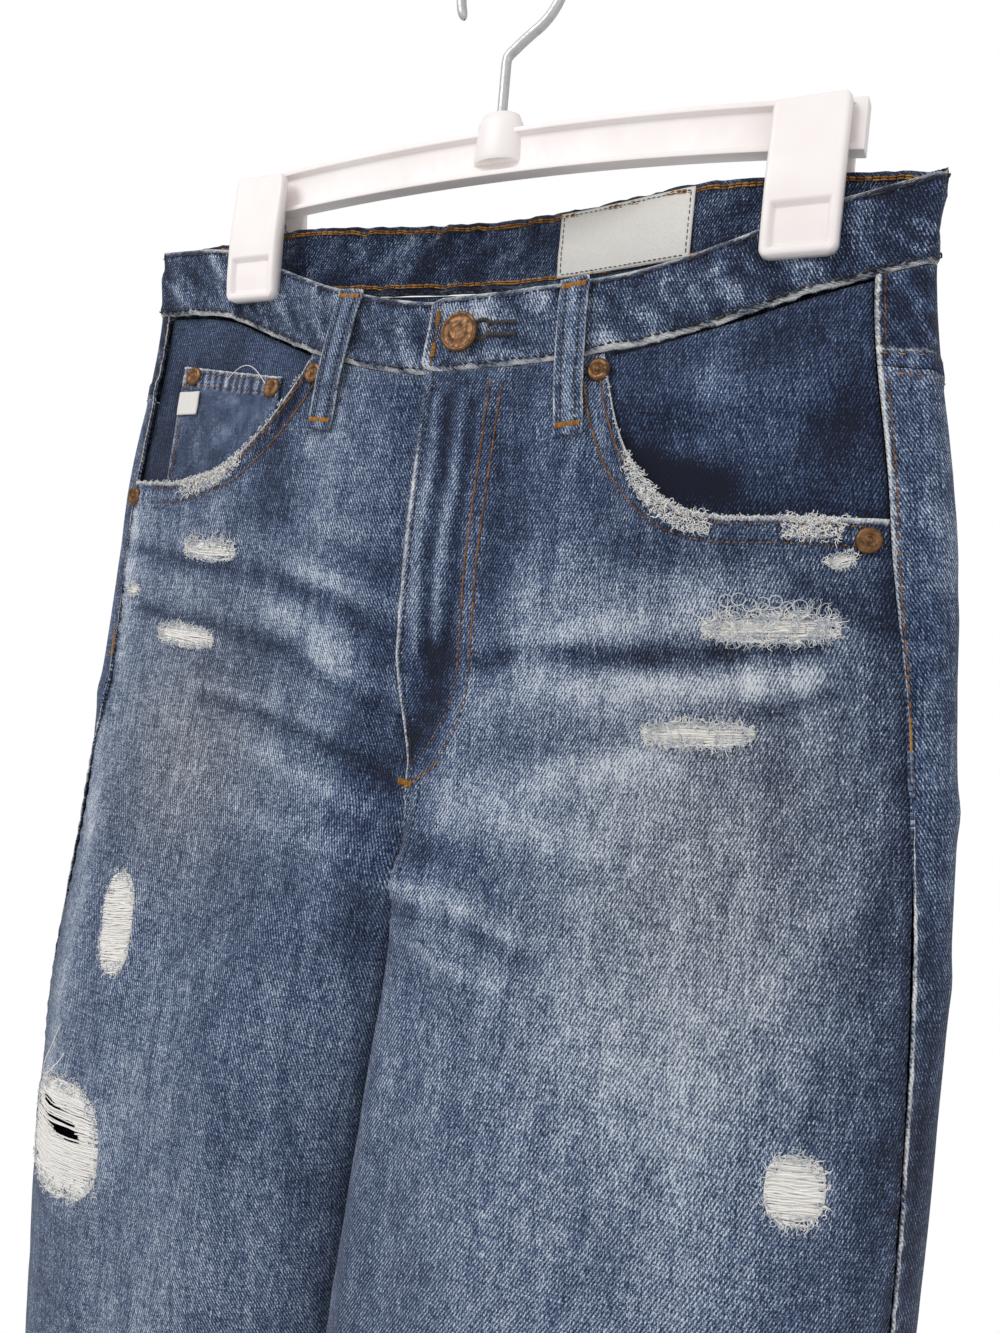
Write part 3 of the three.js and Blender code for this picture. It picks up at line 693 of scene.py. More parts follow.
@dataclass(frozen=True)
class DenimFinish:
    """Indigo twill, its washed-out level read from the panel, with the painted shade and light that some panels
    carry.
    """

    name: str
    lift: float = 0.0
    contrast: float = 1.0
    rib: float = 1.0
    slub: float = 1.0
    bump_mm: float = 0.16

    def make(self, effects: Effects) -> bpy.types.Material:
        """Builds the material."""
        material, g, shader = new_material(self.name)
        fade, worn, grime = g.field("fade"), g.field("worn"), g.field("grime")
        twill = effects.place(g, effects.twill, Rib=self.rib, Slub=self.slub, Fleck=1.0)
        wear = effects.place(g, effects.wear, Worn=worn, Fineness=0.9)
        tone = g.math("MULTIPLY", twill.outputs["Tone"], 0.76 * self.contrast)
        level = g.math("ADD", g.math("ADD", fade, self.lift), tone, clamp=True)
        indigo = g.ramp(level, INDIGO)
        dirty = g.blend(g.math("MULTIPLY", grime, 0.5), indigo, colour(160, 150, 136), "SOFT_LIGHT")
        grey = g.add("ShaderNodeHueSaturation")
        grey.inputs["Saturation"].default_value = 0.45
        g.join(grey.inputs["Color"], dirty)
        dirty = g.blend(g.math("MULTIPLY", grime, 0.8), dirty, grey.outputs[0])
        bright = g.math("ADD", 0.78, g.math("MULTIPLY", twill.outputs["Tone"], 0.5), clamp=True)
        white = g.ramp(bright, ABRADED)
        base = g.blend(wear.outputs["Mask"], dirty, white)
        g.join(shader.inputs["Base Color"], base)
        even = {"Roughness": 0.94, "Specular IOR Level": 0.18, "Sheen Weight": 0.12, "Sheen Roughness": 0.6}
        g.finish(shader, even, twill.outputs["Height"], 0.75, self.bump_mm)
        return material


@dataclass(frozen=True)
class CottonFinish:
    """Plain woven cotton."""

    name: str
    tint: tuple[float, float, float, float]
    shade: tuple[float, float, float, float]

    def make(self, effects: Effects) -> bpy.types.Material:
        """Builds the material."""
        material, g, shader = new_material(self.name)
        weave = effects.place(g, effects.weave, Strength=1.0)
        tone = g.math("ADD", 0.6, weave.outputs["Tone"], clamp=True)
        g.join(shader.inputs["Base Color"], g.ramp(tone, ((0.0, self.shade), (1.0, self.tint))))
        g.finish(shader, {"Roughness": 0.92, "Specular IOR Level": 0.2}, weave.outputs["Height"], 0.6, 0.12)
        return material


@dataclass(frozen=True)
class ThreadFinish:
    """Spun thread: two tones along the strand, from each strand's own number."""

    name: str
    dark: tuple[float, float, float, float]
    light: tuple[float, float, float, float]

    def make(self) -> bpy.types.Material:
        """Builds the material."""
        material, g, shader = new_material(self.name)
        strand = g.field("strand")
        place = g.add("ShaderNodeNewGeometry").outputs["Position"]
        twist = g.noise(place, 2600.0, 2.0, 0.6)
        tone = g.math("ADD", g.math("MULTIPLY", strand, 0.7), g.around(twist, 0.8, 0.35), clamp=True)
        g.join(shader.inputs["Base Color"], g.ramp(tone, ((0.0, self.dark), (1.0, self.light))))
        g.finish(shader, {"Roughness": 0.8, "Specular IOR Level": 0.25}, twist, 0.5, 0.1)
        return material


@dataclass(frozen=True)
class MetalFinish:
    """Small cast or drawn metal with patina."""

    name: str
    bare: tuple[float, float, float, float]
    tarnish: tuple[float, float, float, float]
    amount: float

    def make(self, effects: Effects) -> bpy.types.Material:
        """Builds the material."""
        material, g, shader = new_material(self.name)
        patina = effects.place(g, effects.patina, Amount=self.amount)
        g.join(shader.inputs["Base Color"], g.blend(patina.outputs["Mask"], self.bare, self.tarnish))
        g.join(shader.inputs["Roughness"], patina.outputs["Roughness"])
        g.finish(shader, {"Metallic": 0.7}, patina.outputs["Mask"], 0.35, 0.1)
        return material


@dataclass(frozen=True)
class PlasticFinish:
    """Moulded hanger plastic with faint scuffs."""

    name: str
    tint: tuple[float, float, float, float]
    dull: tuple[float, float, float, float]

    def make(self) -> bpy.types.Material:
        """Builds the material."""
        material, g, shader = new_material(self.name)
        place = g.add("ShaderNodeNewGeometry").outputs["Position"]
        scuff = g.noise(g.scaled(place, (1, 1, 0.3)), 260.0, 5.0, 0.65)
        mottle = g.noise(place, 30.0, 2.0)
        g.join(shader.inputs["Base Color"], g.blend(g.span(mottle, 0.35, 0.7), self.tint, self.dull))
        g.join(shader.inputs["Roughness"], g.span(scuff, 0.3, 0.7, 0.32, 0.5))
        g.finish(shader, {}, scuff, 0.12, 0.2)
        return material


class Finishes:
    """Every material of the scene."""

    def __init__(self) -> None:
        """Builds them all."""
        effects = Effects()
        self.denim = DenimFinish("washed_denim").make(effects)
        self.pocket = DenimFinish("pocket_denim", contrast=0.9).make(effects)
        self.band = DenimFinish("waistband_denim", contrast=1.15).make(effects)
        cotton = CottonFinish("pocket_cotton", colour(236, 232, 222), colour(188, 183, 172))
        label = CottonFinish("blank_label", colour(240, 238, 234), colour(206, 202, 196))
        self.cotton, self.label = cotton.make(effects), label.make(effects)
        self.gold = ThreadFinish("gold_thread", colour(112, 74, 36), colour(206, 148, 78)).make()
        self.tan = ThreadFinish("tan_thread", colour(74, 50, 34), colour(172, 118, 70)).make()
        self.dark = ThreadFinish("dark_thread", colour(22, 23, 32), colour(92, 86, 82)).make()
        self.weft = ThreadFinish("bared_weft", colour(238, 233, 227), colour(255, 254, 251)).make()
        self.fuzz = ThreadFinish("indigo_fray", colour(118, 136, 164), colour(248, 250, 252)).make()
        copper = MetalFinish("aged_copper", colour(140, 100, 64), colour(54, 40, 30), 0.95)
        brass = MetalFinish("zip_brass", colour(188, 156, 96), colour(110, 88, 56), 0.6)
        steel = MetalFinish("hanger_steel", colour(206, 206, 208), colour(150, 150, 152), 0.3)
        self.copper, self.brass, self.steel = (metal.make(effects) for metal in (copper, brass, steel))
        self.plastic = PlasticFinish("hanger_plastic", colour(250, 243, 242), colour(243, 235, 232)).make()
        self.floor = PlasticFinish("pale_floor", colour(240, 240, 240), colour(236, 236, 236)).make()


# ------------------------------------------------------------------ meshes


def to_row(points: Array) -> Array:
    """Form millimetres to metres in the frame."""
    moved = np.array(points, dtype=float)
    moved[..., 2] -= SEAT_Z
    return moved * MM


def object_from(name: str, points: Array, faces: list | Array, material: bpy.types.Material,
                values: dict[str, Array] | None = None, smooth: bool = True) -> Piece:
    """A mesh object from form millimetres.

    Args:
        name: the object's name.
        points: vertices in form millimetres.
        faces: vertex indices of each face.
        material: its finish.
        values: point attributes by name; three columns make a vector.
        smooth: smooth shading.

    Returns:
        The object, linked to the scene.
    """
    mesh = bpy.data.meshes.new(name)
    mesh.from_pydata(to_row(points), [], faces)
    mesh.materials.append(material)
    for word, data in (values or {}).items():
        data = np.asarray(data, dtype=np.float32)
        vector = data.ndim == 2
        made = mesh.attributes.new(word, "FLOAT_VECTOR" if vector else "FLOAT", "POINT")
        made.data.foreach_set("vector" if vector else "value", data.ravel())
    mesh.polygons.foreach_set("use_smooth", np.full(len(mesh.polygons), smooth))
    mesh.update()
    made_object = bpy.data.objects.new(name, mesh)
    bpy.context.scene.collection.objects.link(made_object)
    return made_object


def dress(piece: Piece, slot: str, node: str | None = None, **cloth: object) -> Piece:
    """Puts a piece on the body and hides the CAD node that it stands for.

    Args:
        piece: the piece.
        slot: a slot name; not used.
        node: the CAD node that it stands for, if any.
        cloth: the cut, hold and rests of a piece of cloth; not used.

    Returns:
        The piece.
    """
    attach(piece, "root")
    if node:
        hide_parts(node)
    return piece


def grid_normals(grid: Array, turn: int) -> Array:
    """Outward normals of a grid of points."""
    across = np.gradient(grid, axis=1)
    down = np.gradient(grid, axis=0)
    normal = np.cross(across, down) * turn
    return normal / np.maximum(np.linalg.norm(normal, axis=-1, keepdims=True), 1e-9)


def arc_lengths(grid: Array) -> Array:
    """Distance along each row of the grid from its first column."""
    steps = np.linalg.norm(np.diff(grid, axis=1), axis=-1)
    return np.concatenate([np.zeros((grid.shape[0], 1)), np.cumsum(steps, axis=1)], axis=1)


PATCH_STEP = 331.0  # mm between the pieces in the cloth's own coordinates, so that no two look alike
PATCH_DEPTH = 7.3
INSIDE_WEAR = 0.3  # share of a worn edge that shows inside


@dataclass
class Shell:
    """A cloth panel: a grid of outer points with a wall, ready for a mesh."""

    name: str
    grid: Array
    turn: int
    wall: float
    inset: Array | float = 0.0
    relief: Array | float = 0.0
    # the denim's level from dark indigo to washed out; on the fronts, pocket facings and band it also holds painted
    # shade and painted light
    fade: Array | float = 0.45
    worn: Array | float = 0.0
    grime: Array | float = 0.0
    keep: Array | None = None
    patch: float = 0.0

    def normals(self) -> Array:
        """Outward normals of the plain form."""
        return grid_normals(self.grid, self.turn)

    def outer(self) -> Array:
        """The outer points with their relief."""
        lift = np.broadcast_to(np.asarray(self.relief) - np.asarray(self.inset), self.grid.shape[:2])
        return self.grid + self.normals() * lift[..., None]

    def build(self, material: bpy.types.Material) -> Piece:
        """Makes the closed mesh, with holes where quads are not kept."""
        rows, cols = self.grid.shape[:2]
        outer = self.outer()
        inward = grid_normals(outer, self.turn)
        inner = outer - inward * self.wall
        keep = np.ones((rows - 1, cols - 1), bool) if self.keep is None else self.keep
        index = np.arange(rows * cols).reshape(rows, cols)
        a, b, c, d = index[:-1, :-1][keep], index[:-1, 1:][keep], index[1:, 1:][keep], index[1:, :-1][keep]
        back = rows * cols
        quads = [np.stack([a, b, c, d], 1), np.stack([a, d, c, b], 1) + back]
        padded = np.pad(keep, 1)
        sides = (
            (padded[:-2, 1:-1], index[:-1, :-1], index[:-1, 1:]),
            (padded[2:, 1:-1], index[1:, 1:], index[1:, :-1]),
            (padded[1:-1, :-2], index[1:, :-1], index[:-1, :-1]),
            (padded[1:-1, 2:], index[:-1, 1:], index[1:, 1:]),
        )
        for near, first, second in sides:
            edge = keep & ~near
            p, q = first[edge], second[edge]
            quads.append(np.stack([q, p, p + back, q + back], 1))
        faces = np.concatenate(quads)
        if self.turn < 0:
            faces = faces[:, ::-1]
        lengths = arc_lengths(self.grid[..., :2])
        lengths = lengths - lengths[:, -1:]
        depth = np.full((rows, cols), PATCH_DEPTH * self.patch)
        cloth = np.stack([lengths + PATCH_STEP * self.patch, self.grid[..., 2], depth], -1)
        values = {"cloth": np.concatenate([cloth.reshape(-1, 3)] * 2)}
        for word in ("fade", "worn", "grime"):
            flat = np.broadcast_to(np.asarray(getattr(self, word), float), (rows, cols)).ravel()
            values[word] = np.concatenate([flat, flat * (INSIDE_WEAR if word == "worn" else 1.0)])
        used = np.zeros(2 * back, bool)
        used[faces.ravel()] = True
        renumber = np.cumsum(used) - 1
        points = np.concatenate([outer.reshape(-1, 3), inner.reshape(-1, 3)])[used]
        values = {word: data[used] for word, data in values.items()}
        return object_from(self.name, points, renumber[faces], material, values)


class Strands:
    """Many thin threads gathered into one mesh."""

    def __init__(self, name: str, sides: int = 3) -> None:
        """Starts an empty bundle."""
        self.name = name
        self.sides = sides
        self.points: list[Array] = []
        self.faces: list[Array] = []
        self.tones: list[Array] = []
        self.count = 0

    def add(self, path: Array, radius: Array | float, tone: float) -> None:
        """One thread.

        Args:
            path: points along its middle, in form millimetres.
            radius: one for all, or one a point.
            tone: 0 dark to 1 light.
        """
        path = np.asarray(path, float)
        n = len(path)
        along = np.gradient(path, axis=0)
        along /= np.maximum(np.linalg.norm(along, axis=1, keepdims=True), 1e-9)
        helper = np.where(np.abs(along[:, 1:2]) < 0.9, [[0.0, 1.0, 0.0]], [[1.0, 0.0, 0.0]])
        u = np.cross(along, helper)
        u /= np.maximum(np.linalg.norm(u, axis=1, keepdims=True), 1e-9)
        v = np.cross(along, u)
        angle = 2 * np.pi * np.arange(self.sides) / self.sides
        ring = np.cos(angle)[None, :, None] * u[:, None] + np.sin(angle)[None, :, None] * v[:, None]
        size = np.broadcast_to(np.asarray(radius, float), (n,))
        points = path[:, None] + ring * size[:, None, None]
        index = np.arange(n * self.sides).reshape(n, self.sides) + self.count
        turned = np.roll(index, -1, axis=1)
        quads = np.stack([index[:-1], turned[:-1], turned[1:], index[1:]], -1).reshape(-1, 4)
        self.faces.append(quads)
        if self.sides == 3:
            caps = np.stack([index[0][::-1], index[-1]])
            self.faces.append(np.concatenate([caps, caps[:, :1]], 1))
        self.points.append(points.reshape(-1, 3))
        self.tones.append(np.full(n * self.sides, tone))
        self.count += n * self.sides

    def build(self, material: bpy.types.Material) -> Piece | None:
        """The bundle as one mesh, or None when it is empty."""
        if not self.points:
            return None
        quads = np.concatenate(self.faces)
        faces = [tuple(q[:3]) if q[3] == q[0] else tuple(q) for q in quads.tolist()]
        return object_from(self.name, np.concatenate(self.points), faces, material,
                           {"strand": np.concatenate(self.tones)})


def along_path(path: Array, step: float) -> Array:
    """Even steps along a path, as fractional indices into it."""
    lengths = np.concatenate([[0], np.cumsum(np.linalg.norm(np.diff(path, axis=0), axis=1))])
    return np.interp(np.arange(step / 2, lengths[-1], step), lengths, np.arange(len(path)))


def sample(values: Array, at: Array) -> Array:
    """Values between the entries of a list, at fractional indices."""
    low = np.clip(np.floor(at).astype(int), 0, len(values) - 2)
    t = (at - low)[:, None]
    return values[low] * (1 - t) + values[low + 1] * t


@dataclass
class Sewing:
    """Stitches laid on a surface, gathered by thread colour."""

    strands: dict[str, Strands] = field(default_factory=dict)
    rng: np.random.Generator = field(default_factory=lambda: np.random.default_rng(11))

    def bundle(self, colour_name: str) -> Strands:
        """The bundle of one thread colour."""
        if colour_name not in self.strands:
            self.strands[colour_name] = Strands(f"stitches_{colour_name}")
        return self.strands[colour_name]

    def row(self, path: Array, normal: Array, thread: str, pitch: float = 3.3, radius: float = 0.34,
            lift: float = 0.18) -> None:
        """A row of lock stitches.

        Args:
            path: surface points, in form millimetres.
            normal: outward normals at those points.
            thread: colour name.
            pitch: distance from stitch to stitch.
            radius: half the thread's thickness.
            lift: how far the middle stands off the surface.
        """
        bundle = self.bundle(thread)
        at = along_path(path, pitch)
        if len(at) < 2:
            return
        span = 0.40 * pitch / max(np.linalg.norm(np.diff(path, axis=0), axis=1).mean(), 1e-6)
        for shift in at + self.rng.normal(0, 0.02, len(at)) * span:
            places = np.clip(shift + span * np.array([-1.0, -0.55, 0.0, 0.55, 1.0]), 0, len(path) - 1.001)
            points, n = sample(path, places), sample(normal, places)
            rise = np.array([-0.35, 0.85, 1.0, 0.85, -0.35]) * lift
            rise = rise + radius * np.array([-0.6, 0.2, 0.35, 0.2, -0.6])
            points = points + n * rise[:, None] + self.rng.normal(0, 0.05, 3)
            bundle.add(points, radius * np.array([0.6, 1.0, 1.1, 1.0, 0.6]), self.rng.uniform(0, 1))

    def tack(self, start: Array, end: Array, across: Array, normal: Array, thread: str = "gold",
             width: float = 2.4, pitch: float = 0.55) -> None:
        """A bar tack: close zigzag bars from start to end."""
        bundle = self.bundle(thread)
        length = float(np.linalg.norm(end - start))
        count = max(4, int(length / pitch))
        for i in range(count):
            middle = mix(start, end, (i + 0.5) / count) + normal * 0.45
            half = across * width / 2 * self.rng.uniform(0.85, 1.1)
            lean = (end - start) / length * 0.2
            sunk = normal * 0.3
            points = np.array([middle - half - lean - sunk, middle - half * 0.6, middle + normal * 0.15,
                               middle + half * 0.6, middle + half + lean - sunk])
            bundle.add(points, 0.3, self.rng.uniform(0.2, 1))

    def build(self, finishes: Finishes) -> list[Piece]:
        """One mesh for each thread colour."""
        table = {"gold": finishes.gold, "tan": finishes.tan, "dark": finishes.dark}
        return [bundle.build(table[word]) for word, bundle in self.strands.items()]


# ------------------------------------------------------------------ rips


@dataclass(frozen=True)
class Rip:
    """A worn-through place on a front: bared weft, fray and sometimes an open hole."""

    name: str
    side: Side
    x: float
    z: float
    half_width: float
    half_height: float
    tilt: float
    open_share: float = 0.0
    fray_up: float = 4.0
    fray_down: float = 3.0
    tuft: float = 1.0

    def local(self, x: Array, z: Array) -> tuple[Array, Array]:
        """Places in the rip's own axes, 1 at its rim."""
        dx, dz = x - self.x, z - self.z
        c, s = math.cos(self.tilt), math.sin(self.tilt)
        return (dx * c + dz * s) / self.half_width, (-dx * s + dz * c) / self.half_height

    def world(self, u: Array, v: Array) -> tuple[Array, Array]:
        """x and z of places in the rip's own axes."""
        c, s = math.cos(self.tilt), math.sin(self.tilt)
        a, b = np.asarray(u) * self.half_width, np.asarray(v) * self.half_height
        return self.x + a * c - b * s, self.z + a * s + b * c

    def reach(self, x: Array, z: Array) -> Array:
        """1 at the ragged rim, less inside."""
        u, v = self.local(x, z)
        ragged = 0.12 * wander(x, z, 3.0, 3.0, 5) + 0.10 * wander(x, z, 7.0, 7.0, 9)
        return (np.abs(u) ** 2.6 + np.abs(v) ** 2.6) ** (1 / 2.6) + ragged


RIPS: tuple[Rip, ...] = (
    Rip("upper_right_hip", Side.RIGHT, -130, -158.0, 16.5, 4.6, -0.05, fray_up=8, fray_down=3),
    Rip("lower_right_hip", Side.RIGHT, -142, -201, 19, 5.0, -0.05, fray_up=4, fray_down=4),
    Rip("right_fold_spot", Side.RIGHT, -186, -180, 3.6, 3.2, 0.0, fray_up=2, fray_down=2),
    Rip("right_thigh", Side.RIGHT, -150, -343, 9.5, 23, 0.2, fray_up=3, fray_down=3),
    Rip("right_knee", Side.RIGHT, -166, -450, 27, 27, 0.1, open_share=0.3, fray_up=5, fray_down=4),
    Rip("left_hip", Side.LEFT, 145, -176.0, 23.5, 4.4, 0.08, fray_up=9, fray_down=5, tuft=1.7),
    Rip("left_thigh", Side.LEFT, 122, -218.5, 20, 4.3, 0.10, fray_up=5, fray_down=5, tuft=1.3),
    Rip("left_knee", Side.LEFT, 177, -369, 9, 11, 0.05, fray_up=4, fray_down=4),
    Rip("pocket_nick", Side.LEFT, 168, -148.5, 4.5, 2.6, 0.3, fray_up=2.5, fray_down=2.5, tuft=0.8),
)


# ------------------------------------------------------------------ panels


class Skin:
    """The displaced front surface, for what lies on it."""

    @staticmethod
    def relief(side: Side, x: Array, z: Array, w: Array) -> Array:
        """Height of creases, puckers and doubled cloth, in mm."""
        rise = 2.4 * painted(FADES, x, z, 7.5, 0.6) * np.clip((-z - 60) / 40, 0, 1)
        rise = np.clip(rise, -1.5, 1.1) + painted(FRONT_FOLDS, x, z)
        rise = rise + 0.55 * wander(x, z, 26, 38, 3) + 0.22 * wander(x, z, 9, 12, 4)
        width = keyed(Form.half, z) - keyed(Form.seam_inset[side], z)
        seam = np.maximum(0, 1 - w) * width
        pucker = np.sin(z / 1.35 + 2.5 * wander(x * 0, z, 9, 24, 6))
        rise = rise + 0.32 * pucker * bell(seam - 4, 5.5)
        rise = rise - 0.7 * ease((3.6 - seam) / 2.6)
        centre = np.abs(x - keyed(Form.sway, z))
        seat_seam = bell(centre - 3, 3.5) * ease((-z - 246) / 8) * ease((z + 330) / 30)
        rise = rise + 0.6 * seat_seam * (1 + 0.9 * np.sin(z / 0.85))
        mouth = Form.mouth[side]
        d = side.value * (x + 4)
        below = keyed(mouth, d) - z
        hem = ease((d - mouth[0][0] + 2) / 3) * ease((12.5 - below) / 1.5) * ease((below + 1) / 1)
        rows = bell(below - 3.0, 0.8) + bell(below - 10.2, 0.8)
        pucker = np.sin(d / 0.58 + 2 * wander(x, z * 0, 8, 9, 8)) * bell(below - 6.5, 2.6)
        rise = rise + hem * (0.9 - 0.6 * rows + 0.4 * pucker)
        if side is Side.LEFT:
            fly = ease((25.5 - x) / 1.6) * ease((z + 262) / 12)
            edge = x - fly_x(z)
            rise = rise + fly * 0.35 + 0.55 * bell(edge, 1.1) * lapped(z)
            for offset in (22.6, 17.0):
                rise = rise - 0.3 * bell(x - offset, 0.7) * ease((z + 225) / 20)
        for rip in RIPS:
            if rip.side is side:
                rise = rise + 0.7 * bell(rip.reach(x, z) - 1.15, 0.18)
        return rise

    @classmethod
    def at(cls, side: Side, x: Array, z: Array, lift: float = 0.0) -> tuple[Array, Array]:
        """Points and normals of the front of one side.

        Args:
            side: which front.
            x: places across.
            z: heights.
            lift: extra height off the cloth.

        Returns:
            The points and the outward normals.
        """
        x, z = np.broadcast_arrays(np.asarray(x, float), np.asarray(z, float))
        w = Form.share(side, x, z)

        def plain(dw: float, dz: float) -> Array:
            return Form.point(side, True, w + dw, z + dz)

        across = plain(0.01, 0) - plain(-0.01, 0)
        down = plain(0, -1.5) - plain(0, 1.5)
        normal = np.cross(across, down) * -side.value
        normal /= np.linalg.norm(normal, axis=-1, keepdims=True)
        height = cls.relief(side, x, z, w) + lift
        return plain(0, 0) + normal * height[..., None], normal


@dataclass
class Fronts:
    """The two front panels with their rips, fly edge and pocket mouths."""

    finishes: Finishes
    sewing: Sewing
    wall: float = 1.2
    cut: tuple[float, float] = (0.285, 0.975)
    area: float = 0.235

    def columns(self, side: Side) -> Array:
        """Shares of the way to the side seam, close together at the pocket mouth."""
        start = 0.39 if side is Side.LEFT else 0.42
        return np.unique(np.concatenate([
            np.linspace(0, 0.03, 5), np.linspace(0.03, start, 40), np.linspace(start, start + 0.13, 40),
            np.linspace(start + 0.13, 0.985, 50), np.linspace(0.985, 1, 4),
        ]))

    def grid(self, side: Side) -> tuple[Array, Array]:
        """The panel's outer points and each one's share of the width."""
        columns = self.columns(side)
        mouth = Form.mouth[side]

        def place(w: Array, z: Array) -> Array:
            width = keyed(Form.half, z) - keyed(Form.seam_inset[side], z)
            edge = fly_x(z) if side is Side.LEFT else GAP - (fly_x(z) + 7 + GAP) * lapped(z)
            first = np.where(z < CROTCH_Z, 0.006, edge / width)
            first = np.where(z > CROTCH_Z - 12, mix(0.006, first, ease((z + 302) / 14)), 0.006)
            share = mix(first, 1.004, w)
            return np.concatenate([Form.point(side, True, share, z), share[..., None]], -1)

        tops = np.full(len(columns), -80.0)
        for _ in range(12):
            x = place(columns, tops)[..., 0]
            d = np.abs(x + 4)
            seam = Form.front_top(x) - BAND - GAP
            tops = np.where(d < mouth[0][0], seam, np.minimum(seam, keyed(mouth, d)))
        upper = np.linspace(0, 1, 76)[:-1, None]
        z_upper = mix(tops[None], LOWER_Z, upper)
        below_rips, knee_end = -462, -530
        z_lower = np.concatenate([np.arange(LOWER_Z, below_rips, -2.1),
                                  np.linspace(below_rips, knee_end, 21)[:-1],
                                  np.linspace(knee_end, HEM_Z, 62)])
        heights = np.concatenate([z_upper, np.repeat(z_lower[:, None], len(columns), 1)])
        out = place(np.broadcast_to(columns, heights.shape), heights)
        return out[..., :3], out[..., 3]

    def build(self) -> list[Piece]:
        """Makes both panels."""
        made = []
        for number, side in enumerate(Side):
            grid, share = self.grid(side)
            x, z = grid[..., 0], grid[..., 2]
            shell = Shell(f"front_panel_{side.name.lower()}", grid, -side.value, self.wall, patch=number + 1)
            shell.relief = Skin.relief(side, x, z, share)
            if side is Side.RIGHT:
                shell.inset = 3.2 * np.minimum(1, lapped(z) * 0.7 / 0.3 + lapped(z)) * ease((x + 30) / 12)
            shell.fade, shell.worn, shell.grime = self.wash(side, x, z, share)
            middle_x = (x[:-1, :-1] + x[1:, 1:]) / 2
            middle_z = (z[:-1, :-1] + z[1:, 1:]) / 2
            keep = np.ones(middle_x.shape, bool)
            for rip in RIPS:
                if rip.side is side:
                    keep &= rip.reach(middle_x, middle_z) > 0.86
            shell.keep = keep
            made.append(dress(shell.build(self.finishes.denim), "denim", f"front_{side.name.lower()}", flat=self.cut,
                              area=self.area, held="hung", rests_on=["clip_left_front", "clip_right_front"]))
        self.stitch()
        return made

    def wash(self, side: Side, x: Array, z: Array, share: Array) -> tuple[Array, Array, Array]:
        """The panel's washed-out level with its painted shade, worn edges and grime."""
        leg = ease((-z - 230) / 120)
        centre = bell(share - 0.52, 0.27)
        fade = 0.455 - 0.07 * leg + 0.07 * leg * centre
        fade = fade + painted(FADES, x, z, dark=0.85) * (1 + 0.3 * wander(x, z, 7, 5, 20))
        for amount, wide, tall, seed in ((0.06, 30, 60, 21), (0.08, 5, 34, 22), (0.05, 4, 9, 23)):
            fade = fade + amount * wander(x, z, wide, tall, seed)
        # painted shadow where the legs meet: darker along the inseam below the crotch
        fade = fade - 0.03 * bell(share, 0.05) * ease((-z - 320) / 40)
        fade = fade - 0.1 * ease((-z - 640) / 300)
        # painted shadow on the front beside the back's raised edge at the side seam
        width = keyed(Form.half, z) - keyed(Form.seam_inset[side], z)
        seam = (1 - share) * width
        fade = fade - 0.16 * bell(seam - 1, 2.2)
        mouth = Form.mouth[side]
        d = side.value * (x + 4)
        below = keyed(mouth, d) - z
        at_mouth = ease((d - mouth[0][0] + 3) / 3)
        worn = at_mouth * bell(below - 0.3, 1.5) * 0.95
        place, spread = ((27.0, 13.0) if side is Side.LEFT else (52.0, 17.0))
        curve = bell(d - mouth[0][0] - place, spread, 4)
        shred = at_mouth * curve * ease((10.5 - below) / 3) * ease((below + 1) / 1)
        worn = worn + 0.5 * shred * (1 + 0.5 * wander(x, z, 3, 3, 24))
        if side is Side.LEFT:
            frayed = bell(d - 160, 8, 4) * ease((11 - below) / 3) * at_mouth
            worn = worn + 0.5 * frayed * (1 + 0.5 * wander(x, z, 3, 3, 25))
            fly_edge = bell(x - fly_x(z), 1.1) * lapped(z) * ease((z + 262) / 10)
            worn = worn + 0.85 * fly_edge * (0.4 + 0.6 * ease((-z - 96) / 30))
        hem = at_mouth * ease((12 - below) / 1.5) * ease((below + 1) / 1)
        dashes = np.sin(d / 0.58 + 2 * wander(x, z * 0, 8, 9, 8)) * (0.75 + 0.5 * wander(x, z * 0, 6, 9, 9))
        fade = fade + hem * (-0.08 + 0.24 * dashes * bell(below - 6.6, 2.4))
        # painted shade in the grooves of the mouth hem's two stitch rows, and a painted shadow under the hem's lower
        # edge
        fade = fade - 0.2 * hem * (bell(below - 3.0, 0.7) + bell(below - 10.2, 0.7))
        fade = fade - 0.1 * at_mouth * bell(below - 13.5, 1.6)
        worn = worn + 0.4 * bell(z - HEM_Z, 2.5)
        rim = 0.0
        for rip in RIPS:
            if rip.side is side:
                reach = rip.reach(x, z)
                rim = rim + bell(reach - 0.92, 0.09)
                fade = fade + 0.10 * bell(reach - 1.1, 0.2)
        worn = worn + 0.6 * rim
        if side is Side.LEFT:
            grime = 0.75 * np.exp(-(((x - 135) / 62) ** 2 + ((z + 262) / 95) ** 2))
        else:
            grime = 0.8 * np.exp(-(((x + 130) / 48) ** 2 + ((z + 255) / 60) ** 2))
        return fade, worn, np.clip(grime, 0, 1)

